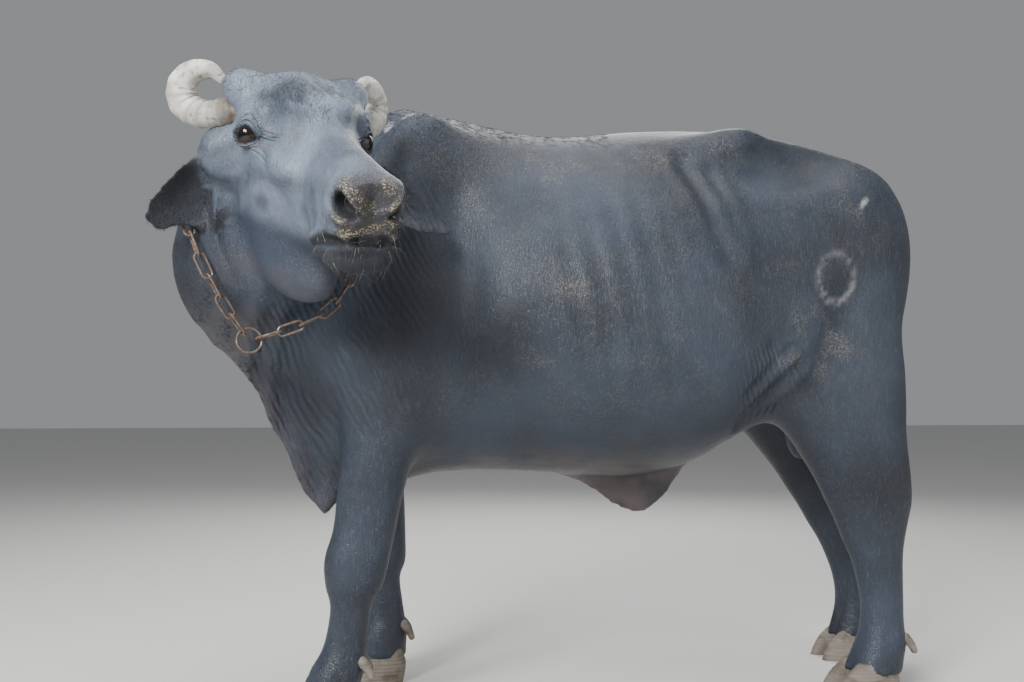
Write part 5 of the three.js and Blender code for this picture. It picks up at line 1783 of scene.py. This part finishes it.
@dataclass(frozen=True)
class Studio:
    """The plain floor, the backdrop's light and the camera at the photo's angle."""

    floor_size: float = 30.0
    backdrop: tuple = (0.80, 0.82, 0.85, 1.0)
    strength: float = 0.34
    camera_at: Triple = (-0.5121, -2.0092, 0.655)
    camera_pitch: float = 4.0
    camera_turn: float = 10.0
    lens: float = 33.4
    sensor: float = 36.0

    def add(self, finishes: Finishes) -> None:
        """Adds floor, lights, backdrop and camera."""
        self.add_floor(finishes)
        for light in LIGHTS:
            light.add()
        self.add_backdrop()
        self.add_camera()

    def add_floor(self, finishes: Finishes) -> None:
        """Adds a plain pale floor."""
        bm = bmesh.new()
        bmesh.ops.create_grid(bm, x_segments=1, y_segments=1, size=self.floor_size)
        floor = from_bmesh("floor", bm)
        floor.data.materials.append(finishes.floor)

    def add_backdrop(self) -> None:
        """Adds the even light of the backdrop."""
        world = bpy.data.worlds.new("studio")
        world.use_nodes = True
        back = world.node_tree.nodes["Background"]
        back.inputs[0].default_value = self.backdrop
        back.inputs[1].default_value = self.strength
        bpy.context.scene.world = world

    def add_camera(self) -> None:
        """Adds the camera."""
        pitch, turn = math.radians(self.camera_pitch), math.radians(self.camera_turn)
        ahead = Vector(
            (math.sin(turn) * math.cos(pitch), math.cos(turn) * math.cos(pitch), math.sin(pitch))
        )
        right = Vector((math.cos(turn), -math.sin(turn), 0))
        rise = right.cross(ahead)
        data = bpy.data.cameras.new("camera")
        data.lens, data.sensor_width = self.lens, self.sensor
        camera = bpy.data.objects.new("camera", data)
        facing = Matrix((right, rise, -ahead)).transposed().to_4x4()
        camera.matrix_world = Matrix.Translation(self.camera_at) @ facing
        bpy.context.scene.collection.objects.link(camera)
        bpy.context.scene.camera = camera


def dress(
    piece: bpy.types.Object, material: bpy.types.Material, nodes: Sequence[str] = ()
) -> None:
    """Finishes a piece and binds it to the body that it stands for."""
    piece.data.materials.clear()
    piece.data.materials.append(material)
    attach(piece, "root")
    if nodes:
        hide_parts(*nodes)


# Where each kind of hair grows
def off_ears(points: Array) -> Array:
    """Says which places lie off both ears."""
    return ~on_ears(points).astype(bool)


def on_trunk(points: Array) -> Array:
    """How thickly the trunk's coat grows."""
    return smooth(560, 640, points[:, 2]) * (points[:, 0] > -330) * (points[:, 2] < 1400)


def on_neck(points: Array) -> Array:
    """How thickly the neck's coat grows."""
    return smooth(-280, -360, points[:, 0]) * (head_place(points)[:, 0] < -70) * off_ears(points)


def on_face(points: Array) -> Array:
    """How thickly the face's coat grows, clear of lids and muzzle."""
    along = head_place(points)[:, 0]
    from_lids = Eyelids().measure(mirrored_head(points))[0]
    chance = (along >= -80) * smooth(305, 270, along) * off_ears(points)
    return chance * (from_lids > 9) * (points[:, 0] < -300)


def on_legs(points: Array) -> Array:
    """How thickly the legs' coat grows."""
    return smooth(600, 540, points[:, 2]) * smooth(60, 80, points[:, 2])


def on_crest(points: Array) -> Array:
    """How thickly the longer hair along neck and withers grows."""
    on_top = smooth(1235, 1300, points[:, 2]) * (points[:, 0] < 200)
    return on_top * (head_place(points)[:, 0] < -60)


def on_crown(points: Array) -> Array:
    """How thickly the longer hair between the horns grows."""
    along, _, rise = head_place(points).T
    return smooth(40, 80, rise) * (along > -120) * (points[:, 0] < -380) * off_ears(points)


def on_chin(points: Array) -> Array:
    """How thickly the beard grows."""
    return on_muzzle(points) * smooth(-60, -110, head_place(points)[:, 2])


def on_lips(points: Array) -> Array:
    """How thickly the whiskers grow."""
    return on_muzzle(points) * smooth(10, -60, head_place(points)[:, 2])


def on_muzzle(points: Array) -> Array:
    """How far places lie on the muzzle and chin."""
    along, across, rise = head_place(points).T
    return smooth(215, 265, along) * (along < 370) * (np.abs(across) < 80) * (rise > -190) * (rise < 40)


def on_ears(points: Array) -> Array:
    """Gives 1 on an ear's leaf and 0 elsewhere."""
    found = np.zeros(len(points), bool)
    for ear in EARS:
        share, across, leaf = ear.local(points)
        width, cup = ear.sizes(share)
        off = leaf - cup * ((across / np.maximum(width, 1)) ** 2 - 0.5)
        found |= (share > 0.12) & (share < 1.1) & (np.abs(across) < width + 10) & (np.abs(off) < 16)
    return found.astype(float)


def ear_edge(points: Array) -> Array:
    """How near places on the ears are to the leaf's edge."""
    found = np.zeros(len(points))
    for ear in EARS:
        share, across, leaf = ear.local(points)
        width, _ = ear.sizes(share)
        near = (share > 0.3) & (share < 1.06) & (np.abs(leaf) < 45) & (np.abs(across) < width + 6)
        found = np.maximum(found, near * smooth(0.86, 0.97, np.abs(across) / np.maximum(width, 1)))
    return found


@dataclass(frozen=True)
class Growth:
    """One piece of coat: how many tufts, where they grow, their size and their finish."""

    name: str
    count: int
    where: Callable[[Array], Array]
    tuft: Tuft
    finish: str = "coat"
    slot: Slot = Slot.HIDE
    thinned: bool = True


GROWTHS = (
    Growth("coat_trunk", 44000, on_trunk, Tuft(12, 0.50, 0.07, 0.6)),
    Growth("coat_neck", 34000, on_neck, Tuft(11, 0.50, 0.08, 0.6)),
    Growth("coat_face", 36000, on_face, Tuft(5.5, 0.34, 0.11, 0.6)),
    Growth("coat_legs", 32000, on_legs, Tuft(9, 0.45, 0.10, 0.6)),
    Growth("coat_crest", 2600, on_crest, Tuft(19, 0.45, 0.22, 0.9, 3, 0.25)),
    Growth("coat_crown", 2400, on_crown, Tuft(13, 0.36, 0.22, 0.8, 3, 0.25)),
    Growth(
        "whiskers_dark", 150, on_chin, Tuft(34, 0.26, 0.22, 0.9, 4, 0.2, 0.5), "long_hair", Slot.SWITCH, False
    ),
    Growth(
        "whiskers_pale", 60, on_lips, Tuft(26, 0.16, 0.4, 0.5, 4, 0.25, 0.5), "pale_hair", Slot.SWITCH, False
    ),
    Growth("ear_fringe", 420, ear_edge, Tuft(11, 0.16, 0.3, 0.6, 4, 0.25), "long_hair", Slot.SWITCH),
    Growth("coat_ears", 5000, on_ears, Tuft(9, 0.4, 0.2, 0.5)),
)


def main() -> None:
    """Builds the dressed animal and its studio."""
    logging.basicConfig(level=logging.INFO)
    finishes = Finishes()
    lids, flesh = Eyelids(), Flesh()
    face = Face(lids, flesh)
    markings = Markings(lids, face)
    skin_maker = Skin(flesh, face, markings)
    skin = skin_maker.build()
    dress(skin, finishes.skin, skin_maker.nodes)
    horns, eyes, claws = Horns(), Eyes(), Claws()
    for side, label in ((1, "left"), (-1, "right")):
        dress(horns.build(side), finishes.horn, [f"horn_{label}"])
        dress(eyes.build(side), finishes.eye, [f"eye_{label}"])
    for leg in LEGS:
        for side, label in leg.claws:
            piece = claws.build(leg, side, label)
            dress(piece, finishes.claw, [f"claw_{leg.name}_{label}"])
        for side, label in leg.claws:
            dress(claws.dewclaw(leg, side, label), finishes.claw)
    chain, ring, links = Collar().build()
    dress(chain, finishes.steel, links)
    dress(ring, finishes.steel, ["collar_ring"])
    coat = Coat(skin, markings)
    for growth in GROWTHS:
        dress(coat.grow(growth), getattr(finishes, growth.finish))
    dress(LongHair().build(), finishes.long_hair, ["tail_switch"])
    Studio().add(finishes)


if __name__ == "__main__":
    main()
